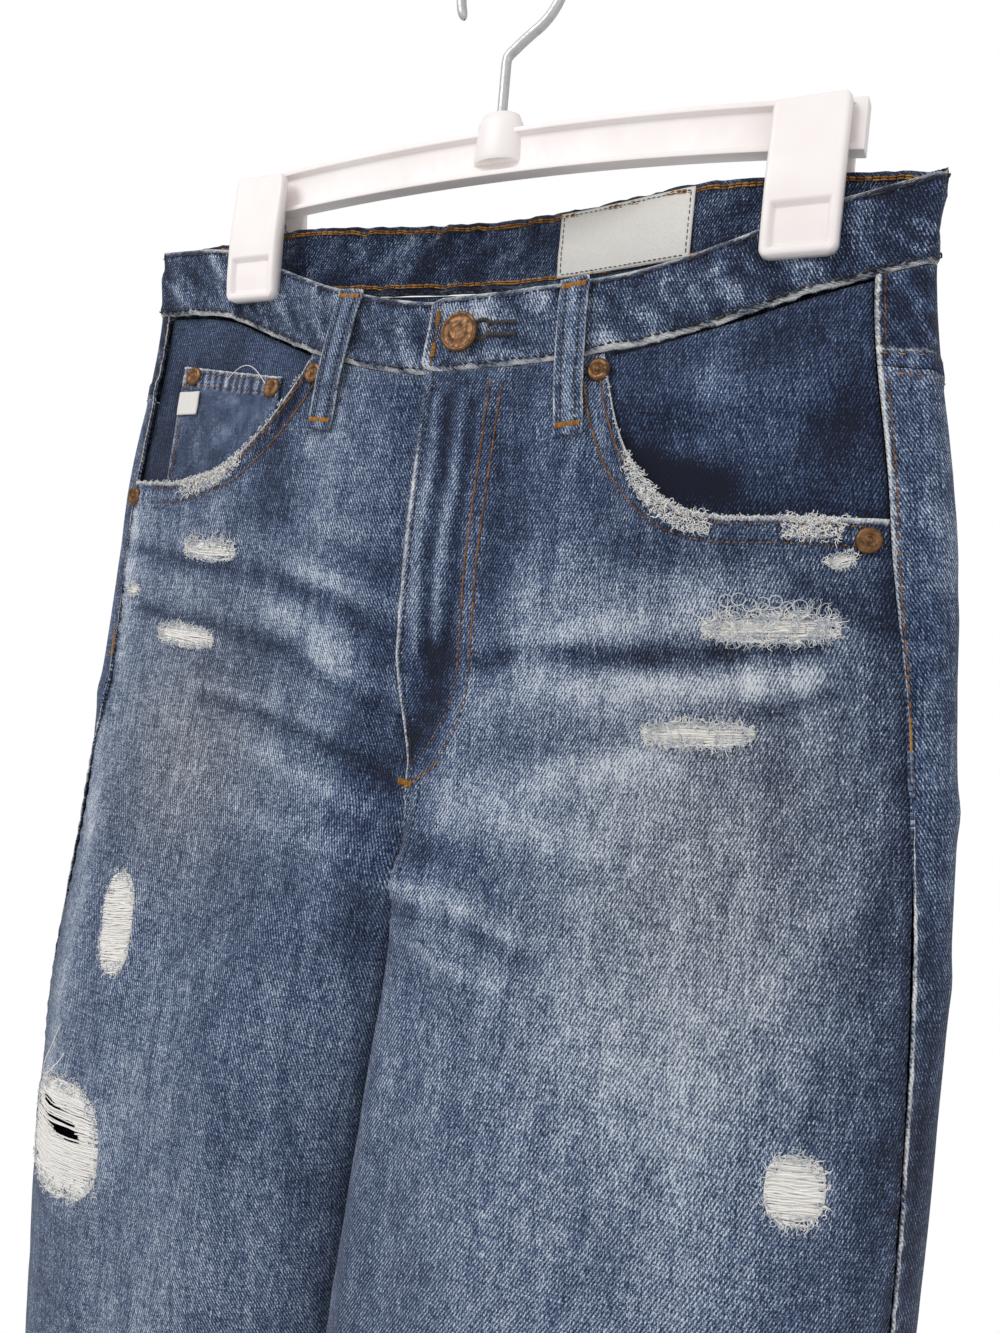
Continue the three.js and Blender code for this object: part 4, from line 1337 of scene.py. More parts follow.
    def stitch(self) -> None:
        """Top stitching of the fly, mouths and centre seam."""
        outer = ((22.9, -79), (23.4, -116), (22, -159), (23.2, -199.5), (22.1, -220), (16.9, -235),
                 (9.9, -247), (-2, -253.5))
        inner = ((17.4, -78), (18, -116), (16.6, -159), (17.6, -199), (16.4, -216), (11.8, -229),
                 (5.5, -240), (-1.5, -246))
        for row in (outer, inner):
            points = np.array(row)
            t = np.linspace(0, len(points) - 1, 120)
            xs = keyed(tuple(zip(range(len(points)), points[:, 0])), t)
            zs = keyed(tuple(zip(range(len(points)), points[:, 1])), t)
            self.sewing.row(*Skin.at(Side.LEFT, xs, zs), "tan", radius=0.4, lift=0.3)
        zs = np.linspace(-74, -246, 90)
        self.sewing.row(*Skin.at(Side.LEFT, fly_x(zs) + 2.4, zs), "dark", radius=0.3)
        spot, out = Skin.at(Side.LEFT, np.array([-5.0, 3.5]), np.array([-253.6, -254.4]), 0.4)
        self.sewing.tack(spot[0], spot[1], np.array([0.0, 0, 1]), out[0], width=2.8, pitch=0.7)
        curve = mix(-257.0, -243.0, np.linspace(0, 1, 20) ** 1.3)
        low, out = Skin.at(Side.LEFT, np.linspace(-3, 14, 20), curve, 0.1)
        self.sewing.row(low, out, "gold", radius=0.4)
        zs = np.linspace(-256, -292, 24)
        for offset in (2.2, 6.5):
            self.sewing.row(*Skin.at(Side.LEFT, offset + 0 * zs, zs), "dark", radius=0.3)
        for side in Side:
            mouth = Form.mouth[side]
            end = 179 if side is Side.LEFT else 176
            d = np.linspace(mouth[0][0] + 0.5, end, 160)
            z = keyed(mouth, d)
            slope = np.gradient(z, d)
            size = np.sqrt(1 + slope**2)
            for offset in (3.0, 10.2):
                x = side.value * (d + slope / size * offset) - 4
                keep = np.abs(x + 4) > mouth[0][0] - 9 - offset
                points, normal = Skin.at(side, x[keep], (z - offset / size)[keep])
                self.sewing.row(points, normal, "tan", pitch=3.1, radius=0.4, lift=0.3)


SEAM_SHARE = 0.9955  # where a back's share of the way round ends, at the side seam


def from_seam(w: Array) -> Array:
    """Distance in mm from the side seam to a back's share w."""
    return np.maximum(0, SEAM_SHARE - w) / 0.13 * 46


def beside_seam(distance: Array | float) -> Array | float:
    """A back's share at a distance in mm from the side seam."""
    return SEAM_SHARE - distance / 46 * 0.13


def seam_puckers(x: Array, z: Array, near: Array) -> Array:
    """Puckers of a back beside the side seam."""
    return np.sin(z / 1.1 + 2 * wander(x * 0, z, 9, 17, 33)) * bell(near - 4, 5)


@dataclass
class Backs:
    """The back panels and yokes, which wrap round the sides to the seam on the front face."""

    finishes: Finishes
    sewing: Sewing
    wall: float = 1.2
    cut: tuple[float, float] = (0.345, 0.96)
    area: float = 0.275
    yoke_cut: tuple[float, float] = (0.29, 0.075)
    yoke_area: float = 0.0165
    columns: Array = field(default_factory=lambda: np.unique(np.concatenate(
        [np.linspace(0.003, 0.1, 10), np.linspace(0.1, 0.8, 48), np.linspace(0.8, SEAM_SHARE, 46)])))

    @staticmethod
    def top(side: Side, w: Array, drop: float) -> Array:
        """Height of the waist edge less a drop, where the share w meets it."""
        z = np.full(np.shape(w), -20.0)
        for _ in range(14):
            x = Form.point(side, False, w, z)[..., 0]
            z = np.where(w > 0.87, Form.front_top(x), Form.back_top(x)) - drop
        return z

    @staticmethod
    def relief(w: Array, x: Array, z: Array) -> Array:
        """Height of folds, felled seams and puckers."""
        wide = np.abs(x)
        facing = ease((0.9 - w) / 0.08)
        rise = painted(BACK_FOLDS, wide, z) * facing
        rise = rise + 0.7 * wander(x, z, 30, 40, 31) + 0.22 * wander(x, z, 9, 12, 32)
        rise = rise + 0.5 * bell(wide - 4.5, 3.2) * ease((z + 300) / 10) * (1 + 0.5 * np.sin(z / 0.9))
        near = from_seam(w)
        rise = rise + 0.5 * ease((9 - near) / 4) + 0.7 * bell(near - 1.4, 1.6)
        rise = rise - 0.35 * bell(near - 5.2, 0.9) * ease((z + 215) / 6) + 0.35 * seam_puckers(x, z, near)
        side_folds = bell(z + 232 + 0.35 * (wide - 200), 7) + bell(z + 305 - 0.3 * (wide - 200), 9)
        return rise + 0.9 * side_folds * ease((w - 0.82) / 0.06) * ease((0.985 - w) / 0.03)

    @staticmethod
    def wash(w: Array, x: Array, z: Array) -> tuple[Array, Array]:
        """Fade and worn edges of a back."""
        leg, flank = ease((-z - 230) / 120), ease((w - 0.84) / 0.04)
        middle = bell(w - 0.42, 0.2)
        fade = 0.4 + 0.02 * leg + (0.12 * bell(z + 132, 26) - 0.2 * leg) * flank
        fade = fade + 0.2 * middle * bell(z + 235, 110) + 0.07 * middle * leg
        fade = fade + 0.055 * painted(BACK_FOLDS, np.abs(x), z) * ease((0.85 - w) / 0.05)
        fade = fade + 0.08 * wander(x, z, 26, 60, 41) + 0.07 * wander(x, z, 7, 24, 42)
        fade = fade + 0.1 * wander(x, z, 5, 6, 44) * flank - 0.1 * ease((-z - 640) / 300)
        near = from_seam(w)
        fade = fade - 0.12 * bell(near - 13, 9) * (w > 0.85) + 0.16 * seam_puckers(x, z, near)
        worn = bell(near - 1.2, 1.6) * (0.8 + 0.25 * wander(x * 0, z, 5, 11, 43) + 0.2 * np.sin(z / 0.75))
        return fade, worn + 0.4 * bell(z - HEM_Z, 2.5)

    def build(self) -> list[Piece]:
        """Makes two backs and two yokes."""
        made = []
        for number, side in enumerate(Side):
            word = side.name.lower()
            seam = keyed(Form.yoke, self.columns)
            start = self.top(side, self.columns, BAND + GAP)
            lower = np.concatenate([np.arange(LOWER_Z, -640, -4.0), np.linspace(-640, HEM_Z, 50)])
            upper = np.linspace(0, 1, 34)[:-1, None]
            heights = np.concatenate([mix((seam - GAP)[None], LOWER_Z, upper),
                                      np.repeat(lower[:, None], len(self.columns), 1)])
            shares = np.broadcast_to(self.columns, heights.shape)
            shares = np.where((shares < 0.01) & (heights < CROTCH_Z + 10), 0.006, shares)
            yoke_heights = mix(start[None], seam[None], np.linspace(0, 1, 18)[:, None])
            yoke_shares = np.broadcast_to(self.columns, yoke_heights.shape)
            for yoke, z, w, cut, area in (
                (False, heights, shares, self.cut, self.area),
                (True, yoke_heights, yoke_shares, self.yoke_cut, self.yoke_area),
            ):
                part = "yoke" if yoke else "back"
                grid = Form.point(side, False, w, z)
                x = grid[..., 0]
                shell = Shell(f"{part}_panel_{word}", grid, side.value, self.wall, patch=5 + number + 2 * yoke)
                shell.relief = self.relief(w, x, z)
                shell.fade, shell.worn = self.wash(w, x, z)
                edge = z - keyed(Form.yoke, w)
                felled = ease((edge + 4.5) / 1.2) * ease((7.2 - edge) / 1.2)
                shell.relief = shell.relief + 0.8 * felled * (1 + 0.35 * np.sin(x))
                shell.fade = shell.fade + 0.12 * felled * (0.6 + np.sin(x))
                if yoke:
                    shell.fade = shell.fade - 0.34 + 0.42 * bell(wander(x + 0.8 * z, z, 9, 16, 45), 0.12)
                shell.worn = shell.worn + 0.5 * (bell(edge - 6.6, 0.8) + bell(edge + 4.0, 0.9))
                made.append(dress(shell.build(self.finishes.denim), "denim", f"{part}_{word}", flat=cut, area=area,
                                  held="hung", rests_on=["clip_left_back", "clip_right_back"]))
                if yoke:
                    along = np.linspace(0.02, 0.985, 120)
                    for offset in (-2.4, 5.0):
                        self.row(side, along, keyed(Form.yoke, along) + offset, "gold")
                else:
                    self.seam_rows(side)
        return made

    def row(self, side: Side, w: Array, z: Array, thread: str) -> None:
        """A stitch row on a back.

        Args:
            side: which back.
            w: shares of the way round.
            z: heights.
            thread: colour name.
        """
        point = Form.point(side, False, w, z)
        across = Form.point(side, False, w + 0.004, z) - Form.point(side, False, w - 0.004, z)
        down = Form.point(side, False, w, z - 1.5) - Form.point(side, False, w, z + 1.5)
        normal = np.cross(across, down) * side.value
        normal /= np.maximum(np.linalg.norm(normal, axis=-1, keepdims=True), 1e-9)
        lift = self.relief(w, point[..., 0], z)
        self.sewing.row(point + normal * lift[..., None], normal, thread, radius=0.42, lift=0.3)

    def seam_rows(self, side: Side) -> None:
        """Rows beside the side seam, and down the seat."""
        z = np.linspace(-38, -212, 120)
        self.row(side, np.full(120, beside_seam(4.6)), z, "tan")
        down = np.linspace(-92, -294, 110)
        wide = keyed(Form.half, down) - keyed(Form.fold, down)
        for gap in (2.6, 7.0):
            self.row(side, gap / wide * 0.8, down, "gold" if side is Side.LEFT else "tan")
        zigzag = beside_seam(2.0 + 5.5 * np.array([0.0, 1.0, 0.15, 1.0, 0.0]))
        for k, start in enumerate((-203.5, -207.5, -211.5)):
            point = Form.point(side, False, zigzag, start + np.linspace(0, -4.5, 5))
            self.sewing.bundle("gold").add(point + np.array([0, -1.6, 0]), 0.5, 0.4 + 0.2 * k)

    def hems(self) -> None:
        """Tan rows round both leg openings."""
        for side in Side:
            self.row(side, np.linspace(0.01, 0.99, 160), np.full(160, HEM_Z + HEM_ROW), "tan")
            point = Form.point(side, True, np.linspace(0.01, 0.99, 120), HEM_Z + HEM_ROW)
            self.sewing.row(*Skin.at(side, point[:, 0], point[:, 2]), "tan")


@dataclass
class Waistband:
    """The band, one strip that laps over itself at the button, with its stitching and buttonhole."""

    finishes: Finishes
    sewing: Sewing
    wall: float = 2.4
    cut: tuple[float, float] = (0.85, 0.034)
    rows: int = 17

    def path(self) -> tuple[Array, Array, Array]:
        """Columns round the waist: points by height, a front mask and how deep each passes under."""
        v = np.linspace(0, 1, self.rows)[:, None] * BAND
        first = np.linspace(UNDERLAP_X, -184, 124)
        last = np.linspace(164, LAP_X, 118)
        w = np.concatenate([np.linspace(1, 0.8, 34), np.linspace(0.8, 0.02, 62)[1:]])

        def front(x: Array) -> Array:
            top = Form.front_top(x)
            return Form.front_at(np.broadcast_to(x, (self.rows, len(x))), top[None] - v)

        def back(side: Side, at: Array) -> Array:
            top = Backs.top(side, at, 0.0)
            return Form.point(side, False, np.broadcast_to(at, (self.rows, len(at))), top[None] - v)

        parts = [front(first), back(Side.RIGHT, w), back(Side.LEFT, w[::-1]), front(last)]
        grid = np.concatenate(parts, axis=1)
        under_table = ((14, 3.4), (-12, 3.4), (-20, 3.0), (-30, 1.4), (-42, 0.2), (-60, 0.0))
        under = np.zeros(grid.shape[1])
        under[: len(first)] = keyed(under_table, first)
        is_front = np.zeros(grid.shape[1])
        is_front[: len(first)] = -1
        is_front[-len(last):] = 1
        return grid, under, is_front

    def build(self) -> Piece:
        """Makes the band and its stitches."""
        grid, under, front = self.path()
        rows, cols = grid.shape[:2]
        x, z = grid[..., 0], grid[..., 2]
        v = np.broadcast_to(np.linspace(0, 1, rows)[:, None] * BAND, (rows, cols))
        s = arc_lengths(grid)
        shell = Shell("waistband_strip", grid, 1, self.wall, patch=11)
        shell.inset = under[None] - 0.6
        near_top, near_foot = bell(v - 2.5, 2.2), bell(v - BAND + 2.8, 2.4)
        wave = np.sin(s / 1.15 + 3 * wander(s, v * 0, 17, 9, 51))
        slant = wander(s + 0.6 * v, v, 6.5, 26, 52) + wander(s + 1.1 * v, v + 0.2 * s, 5.0, 9, 57)
        slant = 0.62 * slant
        relief = 0.28 * wave * (near_top + near_foot) + 1.15 * slant + 0.6 * wander(s, v, 34, 22, 53)
        relief = relief * (1 - 0.75 * bell(v, 2.6))
        relief = relief - 0.4 * (bell(v - EDGE_ROW, 0.6) + bell(v - BAND + EDGE_ROW, 0.6))
        relief = relief - 0.7 * (bell(v, 0.9) + bell(BAND - v, 0.9))
        bumps = painted(BAND_FOLDS, x, z) * (front != 0)
        crease = bell(wander(s + 1.2 * v, v, 8, 22, 58), 0.1) * (0.6 + 0.8 * wander(s, v, 11, 13, 59))
        middle = bell(x - 4, 48) * (front != 0)
        shell.relief = relief + bumps + 0.4 * crease
        shell.fade = 0.19 + 0.3 * middle + 0.3 * crease + 0.42 * slant
        shell.fade = shell.fade + 0.07 * wander(s, v, 12, 9, 54) + 0.05 * wander(s, v, 40, 30, 55)
        shell.fade = shell.fade + 0.13 * wave * (near_top + near_foot) + 0.1 * bumps - 0.08 * (front == 0)
        # painted shade along the grooves of the two edge stitch rows
        shell.fade = shell.fade - 0.25 * (bell(v - EDGE_ROW, 0.7) + bell(v - BAND + EDGE_ROW, 0.7))
        edge = bell(v, 1.1) * 0.85 + bell(BAND - v - 0.3, 1.4) * 0.95
        edge = edge * (0.8 + 0.4 * wander(s, v * 0, 8, 9, 56))
        edge = edge + 0.45 * bell(v - BAND + 1.3, 1.2) * (0.55 + 0.45 * np.sin(s / 0.8 + v))
        end = s[:, -1:] - s
        shell.worn = edge + 0.8 * bell(end, 1.2) + 0.3 * (slant > 0.45) * near_foot
        shell.grid = self.corner(grid, v, end)
        self.stitch(shell, front)
        self.buttonhole()
        jaws = ["clip_left_front", "clip_right_front", "clip_left_back", "clip_right_back"]
        return dress(shell.build(self.finishes.band), "denim", "waistband", flat=self.cut, held="hung",
                     rests_on=jaws)

    @staticmethod
    def corner(grid: Array, v: Array, end: Array) -> Array:
        """Rounds the two corners of the end that laps over."""
        out = grid.copy()
        radius = 5.0
        for near in (v, BAND - v):
            inside = np.clip(1 - near / radius, 0, 1)
            pull = radius * (1 - np.sqrt(1 - inside**2))
            share = np.clip(1 - end / 22, 0, 1)
            out[..., 0] += pull * share
        return out

    def stitch(self, shell: Shell, front: Array) -> None:
        """Rows along both edges, outside, and chain stitches inside the back."""
        outer = shell.outer()
        normal = grid_normals(outer, 1)
        scale = (self.rows - 1) / BAND
        for height in (EDGE_ROW, BAND - EDGE_ROW):
            low = int(height * scale)
            points = mix(outer[low], outer[low + 1], height * scale - low)
            self.sewing.row(points[6:-4], normal[low][6:-4], "dark", radius=0.42, lift=0.3)
        end = outer[1:-1, -4]
        self.sewing.row(end, normal[1:-1, -4], "gold", radius=0.38, pitch=2.6)
        middle = np.flatnonzero(front == 0)
        inner = outer - normal * (self.wall + 0.05)
        for height in (3.4, BAND - 3.0):
            r = int(height * scale)
            for shift in (0.0, 1.0):
                points = inner[r][middle] - np.array([0, 0, shift])
                self.sewing.row(points, -normal[r][middle], "gold", pitch=3.0, radius=0.5)
        self.sewing.tack(outer[3, -4], outer[6, -4], np.array([1.0, 0, 0]), normal[4, -4])
        self.sewing.tack(outer[-4, -4], outer[-7, -4], np.array([1.0, 0, 0]), normal[-5, -4])

    def buttonhole(self) -> None:
        """A keyhole buttonhole worked in faded thread beside the button."""
        strands = self.sewing.bundle("dark")
        turns = np.radians(np.linspace(40, 320, 24))
        outline = [(10.0 - 3.1 * math.cos(a), 3.1 * math.sin(a)) for a in turns]
        outline += [(12.6 + i, side * 1.5) for side in (-1, 1) for i in range(14)]
        for px, pz in outline:
            away = np.array([px - 10, 0, pz]) if px < 12.5 else np.array([0, 0, pz])
            away = away / max(np.linalg.norm(away), 1e-6)
            start = Form.front_at(px, -56 + pz) + away * 0.1
            stop = start + away * 2.0
            lift = np.array([0, -1.9, 0])
            path = [start + lift * 0.75, mix(start, stop, 0.5) + lift * 1.08, stop + lift * 0.75]
            strands.add(np.array(path), 0.42, 0.9)


@dataclass
class BeltLoops:
    """Five loops that stand off the band, tacked at both ends."""

    finishes: Finishes
    sewing: Sewing
    width: float = 13.0
    wall: float = 1.8
    lift: float = 3.3
    bulge: float = 2.2
    cut: tuple[float, float] = (0.013, 0.078)

    def front(self, top: float, foot: float) -> object:
        """The path of a loop on the front."""

        def at(t: Array) -> Array:
            x = mix(top, foot, t)
            return Form.front_at(x, Form.front_top(x) + 0.5 - 68.5 * t)

        return at

    def back(self, side: Side, w: float) -> object:
        """The path of a loop on the back."""

        def at(t: Array) -> Array:
            top = Backs.top(side, np.full(np.shape(t), w), 0.0)
            return Form.point(side, False, w, top + 0.5 - 67.5 * t)

        return at

    def one(self, node: str, path: object, out: Array, patch: int, tone: float) -> Piece:
        """One loop with its rows and tacks."""
        t = np.linspace(0, 1, 64)
        middle = path(t)
        along = np.gradient(middle, axis=0)
        along /= np.linalg.norm(along, axis=1, keepdims=True)
        across = np.cross(along, out)
        across /= np.linalg.norm(across, axis=1, keepdims=True)
        rise = self.lift + self.bulge * np.sin(np.pi * np.clip((t - 0.04) / 0.8, 0, 1)) ** 0.7
        middle = middle + out * rise[:, None]
        u = np.linspace(-1, 1, 13)
        length = t[:, None] * 68
        wobble = 0.35 * wander(length, u[None] * 0 + patch, 14, 1, 60)
        reach = u[None, :, None] * self.width / 2 * (1 + 0.03 * wobble[..., None])
        grid = middle[:, None] + across[:, None] * reach
        turn = int(np.sign(np.sum(grid_normals(grid, 1)[32, 6] * out)))
        shell = Shell(f"{node}_strip", grid, turn, self.wall, patch=patch)
        swell, rim = np.cos(u[None] * np.pi * 1.5), 1 - np.abs(u[None])
        ends = bell(t[:, None] - 0.05, 0.03) + bell(t[:, None] - 0.93, 0.03)
        shell.relief = (0.27 * swell * ease(rim / 0.1) - 0.35 * bell(rim - 0.44, 0.09) - 0.5 * bell(rim, 0.08)
                        + 0.25 * wander(length, u[None] * 6, 5, 5, 61 + patch) - 0.5 * ends)
        shell.fade = tone + 0.1 * wander(length, u[None] * 6, 7, 3, 62 + patch) + 0.1 * swell
        shell.worn = 0.85 * bell(rim, 0.13) * (0.75 + 0.4 * wander(length, u[None], 6, 3, 63))
        shell.worn = shell.worn + 0.5 * bell(t[:, None], 0.02)
        made = dress(shell.build(self.finishes.denim), "denim", node, flat=self.cut, held="stretched",
                     rests_on=["waistband_strip"])
        outer = shell.outer()
        normal = grid_normals(outer, turn)
        for column in (3, 9):
            self.sewing.row(outer[3:-3, column], normal[3:-3, column], "dark", radius=0.36, pitch=2.9)
        for row in (3, 59):
            self.sewing.tack(outer[row, 1], outer[row, 11], along[row], normal[row, 6], width=2.2)
        return made

    def build(self) -> list[Piece]:
        """Makes all five."""
        ahead, behind = np.array([0.0, -1, 0]), np.array([0.0, 1, 0])
        made = [
            self.one("belt_loop_front_right", self.front(-64, -69), ahead, 20, 0.42),
            self.one("belt_loop_front_left", self.front(50, 57), ahead, 21, 0.46),
            self.one("belt_loop_back_centre", self.back(Side.LEFT, 0.001), behind, 22, 0.4),
        ]
        for side in Side:
            out = np.array([side.value * 0.06, 1, 0]) / math.hypot(0.06, 1)
            node = f"belt_loop_side_{side.name.lower()}"
            made.append(self.one(node, self.back(side, 0.735), out, 24 + side.value, 0.4))
        return made


def patch_grid(xs: Array, heights: Array) -> Array:
    """Grid on the front form from columns of x and rows of heights."""
    return Form.front_at(np.broadcast_to(xs, heights.shape), heights)


@dataclass
class Fly:
    """Facing, shield, zip tape, teeth and slider below the lap."""

    finishes: Finishes

    @staticmethod
    def sheet(node: str, across: tuple[float, float], top: float | None, foot: float, inset: float,
              material: bpy.types.Material, slot: str, patch: int) -> Piece:
        """One flat piece under the front.

        Args:
            node: the CAD node that it stands for.
            across: its two edges.
            top: its upper edge, or None for just below the band.
            foot: its lower edge.
            inset: how far it lies behind the front.
            material: its finish.
            slot: passed on to dress, which does not use it.
            patch: its number in the cloth's own coordinates.

        Returns:
            The piece.
        """
        xs = np.linspace(*across, 16)
        head = Form.front_top(xs) - BAND - 1 if top is None else np.full(16, top)
        z = mix(head[None], foot, np.linspace(0, 1, 50)[:, None])
        shell = Shell(f"{node}_piece", patch_grid(xs, z), -1, 1.2, inset=inset, patch=patch)
        shell.relief = 0.2 * wander(np.broadcast_to(xs, z.shape), z, 8, 20, 70 + patch)
        shell.fade = 0.34 + 0.05 * wander(np.broadcast_to(xs, z.shape), z, 6, 20, 71)
        flat = (abs(across[1] - across[0]) * MM, abs(float(head.mean()) - foot) * MM)
        return dress(shell.build(material), slot, node, flat=flat, held="hung", rests_on=["waistband_strip"])

    def build(self) -> list[Piece]:
        """Makes the fly's pieces."""
        denim, cotton = self.finishes.pocket, self.finishes.cotton
        return [
            self.sheet("fly_facing", (-11.5, 26), None, -225, 1.6, denim, "pocket_denim", 30),
            self.sheet("fly_shield", (-20, 32), None, -225, 6.8, denim, "pocket_denim", 31),
            self.sheet("zip_tape", (-3.5, 13), -80, -196, 3.2, cotton, "white_cotton", 32),
            self.teeth(),
            self.slider(),
        ]

    def teeth(self) -> Piece:
        """Two interlocked rows of moulded teeth on the tape."""
        strands = Strands("zip_teeth")
        for i in range(80):
            z = -88 - i * 1.3
            for side in (-1, 1):
                x = 4.6 + side * 0.5
                base = Form.front_at(x, z + side * 0.32) + np.array([0, 4.75, 0])
                strands.add(np.array([base, base + np.array([side * 2.0, 0, 0])]), 0.42, 0.6)
        return dress(strands.build(self.finishes.brass), "zip_brass")

    def slider(self) -> Piece:
        """The slider: the two plates of its waisted body."""
        mesh = bmesh.new()
        base = Form.front_at(4, -90) + np.array([0, 6.2, 0])
        outline = [(-3.6, 5.4), (-2.9, 6.2), (2.9, 6.2), (3.6, 5.4), (2.5, -1.0), (2.5, -5.2), (-2.5, -5.2),
                   (-2.5, -1.0)]
        for y0, y1 in ((-1.4, -0.7), (0.2, 0.8)):
            rings = [[mesh.verts.new(base + np.array([px, y, pz])) for px, pz in outline] for y in (y0, y1)]
            mesh.faces.new(rings[0])
            mesh.faces.new(rings[1][::-1])
            for i in range(len(outline)):
                j = (i + 1) % len(outline)
                mesh.faces.new((rings[0][j], rings[0][i], rings[1][i], rings[1][j]))
        return finish_mesh(mesh, "zip_slider_body", self.finishes.brass, "zip_brass", "zip_slider", 0.25)


def finish_mesh(mesh: bmesh.types.BMesh, name: str, material: bpy.types.Material, slot: str,
                node: str, bevel: float = 0.0) -> Piece:
    """Turns a bmesh in form millimetres into a riding object.

    Args:
        mesh: the shape, freed here.
        name: the piece's name.
        material: its finish.
        slot: passed on to dress, which does not use it.
        node: the CAD node that it stands for.
        bevel: width of rounded edges.

    Returns:
        The object.
    """
    if bevel:
        edges = [e for e in mesh.edges if len(e.link_faces) == 2 and e.calc_face_angle(0) > 0.5]
        bmesh.ops.bevel(mesh, geom=edges, offset=bevel, segments=3, affect="EDGES", profile=0.5)
    bmesh.ops.recalc_face_normals(mesh, faces=mesh.faces)
    for vert in mesh.verts:
        vert.co = Vector((vert.co.x, vert.co.y, vert.co.z - SEAT_Z)) * MM
    data = bpy.data.meshes.new(name)
    mesh.to_mesh(data)
    mesh.free()
    data.materials.append(material)
    data.polygons.foreach_set("use_smooth", np.ones(len(data.polygons), bool))
    made = bpy.data.objects.new(name, data)
    bpy.context.scene.collection.objects.link(made)
    return dress(made, slot, node)


@dataclass
class Pockets:
    """Pocket facings, bags, the coin pocket, its tab and the two back pockets."""

    finishes: Finishes
    sewing: Sewing

    def facing(self, side: Side) -> Piece:
        """The denim seen inside a pocket mouth."""
        mouth = Form.mouth[side]
        start, floor = (0.34, -152.0) if side is Side.LEFT else (0.37, -144.0)
        w = np.linspace(start, 1.004, 70)
        z_top = np.full(70, -60.0)
        for _ in range(12):
            z_top = Form.front_top(Form.point(side, True, w, z_top)[..., 0]) - BAND - 1
        z = mix(z_top[None], floor, np.linspace(0, 1, 46)[:, None])
        grid = Form.point(side, True, np.broadcast_to(w, z.shape), z)
        x = grid[..., 0]
        d = np.abs(x + 4)
        opening = ease((d - mouth[0][0]) / 30) * ease((160 - d) / 40) * ease((-z - 75) / 40)
        name = f"pocket_facing_{side.name.lower()}"
        shell = Shell(f"{name}_piece", grid, -side.value, 1.2, patch=34 + side.value)
        shell.inset = 1.9 + 2.4 * opening if side is Side.LEFT else 3.1 + 0.5 * opening
        ridge = painted(FACING_FOLDS, x, z)
        shell.relief = 0.3 * wander(x, z, 10, 12, 80) + 0.25 * wander(x, z, 26, 30, 81) + ridge
        below = keyed(mouth, d) - z
        # painted light and shade inside the pocket: lighter on the raised ridge, the strokes' painted shadow and
        # highlights, and darker below 84 mm down, just behind the mouth's edge and deep in the opening
        shell.fade = 0.24 + 0.1 * ridge + painted(FACING_LIGHT_AND_SHADE, d, z) - 0.1 * ease((-z - 84) / 10)
        shell.fade = shell.fade + 0.07 * wander(x, z, 5, 20, 89) + 0.06 * wander(x, z, 14, 18, 82)
        shell.fade = shell.fade - 0.12 * bell(below + 3, 5) - 0.16 * opening * ease((-z - 100) / 20)
        return dress(shell.build(self.finishes.pocket), "pocket_denim", name, flat=(0.118, 0.098), area=0.0094,
                     held="hung", rests_on=["waistband_strip"])

    def bag(self, side: Side) -> Piece:
        """The cotton bag behind the front."""
        start, inset = (0.33, 6.0) if side is Side.LEFT else (0.36, 5.4)
        w = np.linspace(start, 0.9, 30)
        z = np.repeat(np.linspace(-118, -222, 30)[:, None], 30, 1)
        grid = Form.point(side, True, np.broadcast_to(w, z.shape), z)
        name = f"pocket_bag_{side.name.lower()}"
        shell = Shell(f"{name}_piece", grid, -side.value, 0.8, inset=inset, patch=36 + side.value)
        shell.relief = 0.35 * wander(grid[..., 0], z, 14, 18, 83)
        return dress(shell.build(self.finishes.cotton), "white_cotton", name, flat=(0.112, 0.104), held="hung",
                     rests_on=[f"pocket_facing_{side.name.lower()}_piece"])

    def coin(self) -> list[Piece]:
        """The coin pocket with its puckered hem, and the blank tab in its seam."""
        xs = np.linspace(-172, -102, 60)
        head = mix(-71, -62, np.clip((-xs - 102) / 68, 0, 1))
        z = mix(head[None], -140.0, np.linspace(0, 1, 60)[:, None])
        grid = patch_grid(xs, z)
        x = grid[..., 0]
        shell = Shell("coin_pocket_piece", grid, -1, 1.0, inset=1.75, patch=40)
        drop = head[None] - z
        hem = ease((11 - drop) / 1.5)
        rows = bell(drop - 2.6, 0.7) + bell(drop - 8.8, 0.7)
        puckers = np.sin(x / 0.8 + 1.5 * wander(x, z * 0, 9, 9, 84))
        shell.relief = hem * (0.45 - 0.3 * rows + 0.35 * puckers) + 0.25 * wander(x, z, 9, 9, 85)
        shell.fade = 0.32 + 0.12 * wander(x, z, 7, 9, 86) + 0.08 * wander(x, z, 4, 14, 93)
        shell.fade = shell.fade + hem * (0.04 + 0.3 * puckers) - 0.1 * ease((drop - 30) / 20)
        shell.worn = 0.9 * bell(drop, 1.1) + 0.5 * bell(x + 171.5, 1.2)
        shell.worn = shell.worn + 0.3 * hem * (wander(x, z, 3, 6, 87) > 0.4)
        made = dress(shell.build(self.finishes.denim), "denim", "coin_pocket", flat=(0.071, 0.078), area=0.0052,
                     held="hung", rests_on=["pocket_facing_right_piece"])
        outer = shell.outer()
        normal = grid_normals(outer, -1)
        for row in (2, 7):
            self.sewing.row(outer[row, 1:-1], normal[row, 1:-1], "tan", pitch=2.9, radius=0.36)
        self.sewing.row(outer[3:, 3], normal[3:, 3], "tan", pitch=2.9, radius=0.28)
        xs = np.linspace(-171, -157, 14)
        z = np.repeat(np.linspace(-76, -88, 14)[:, None], 14, 1)
        tab = Shell("coin_pocket_tab_piece", patch_grid(xs, z), -1, 0.7, inset=0.25, patch=41)
        tab.relief = 0.25 * wander(np.broadcast_to(xs, z.shape), z, 6, 6, 88)
        tag = dress(tab.build(self.finishes.label), "white_cotton", "coin_pocket_tab", flat=(0.014, 0.012),
                    held="hung", rests_on=["coin_pocket_piece"])
        return [made, tag]

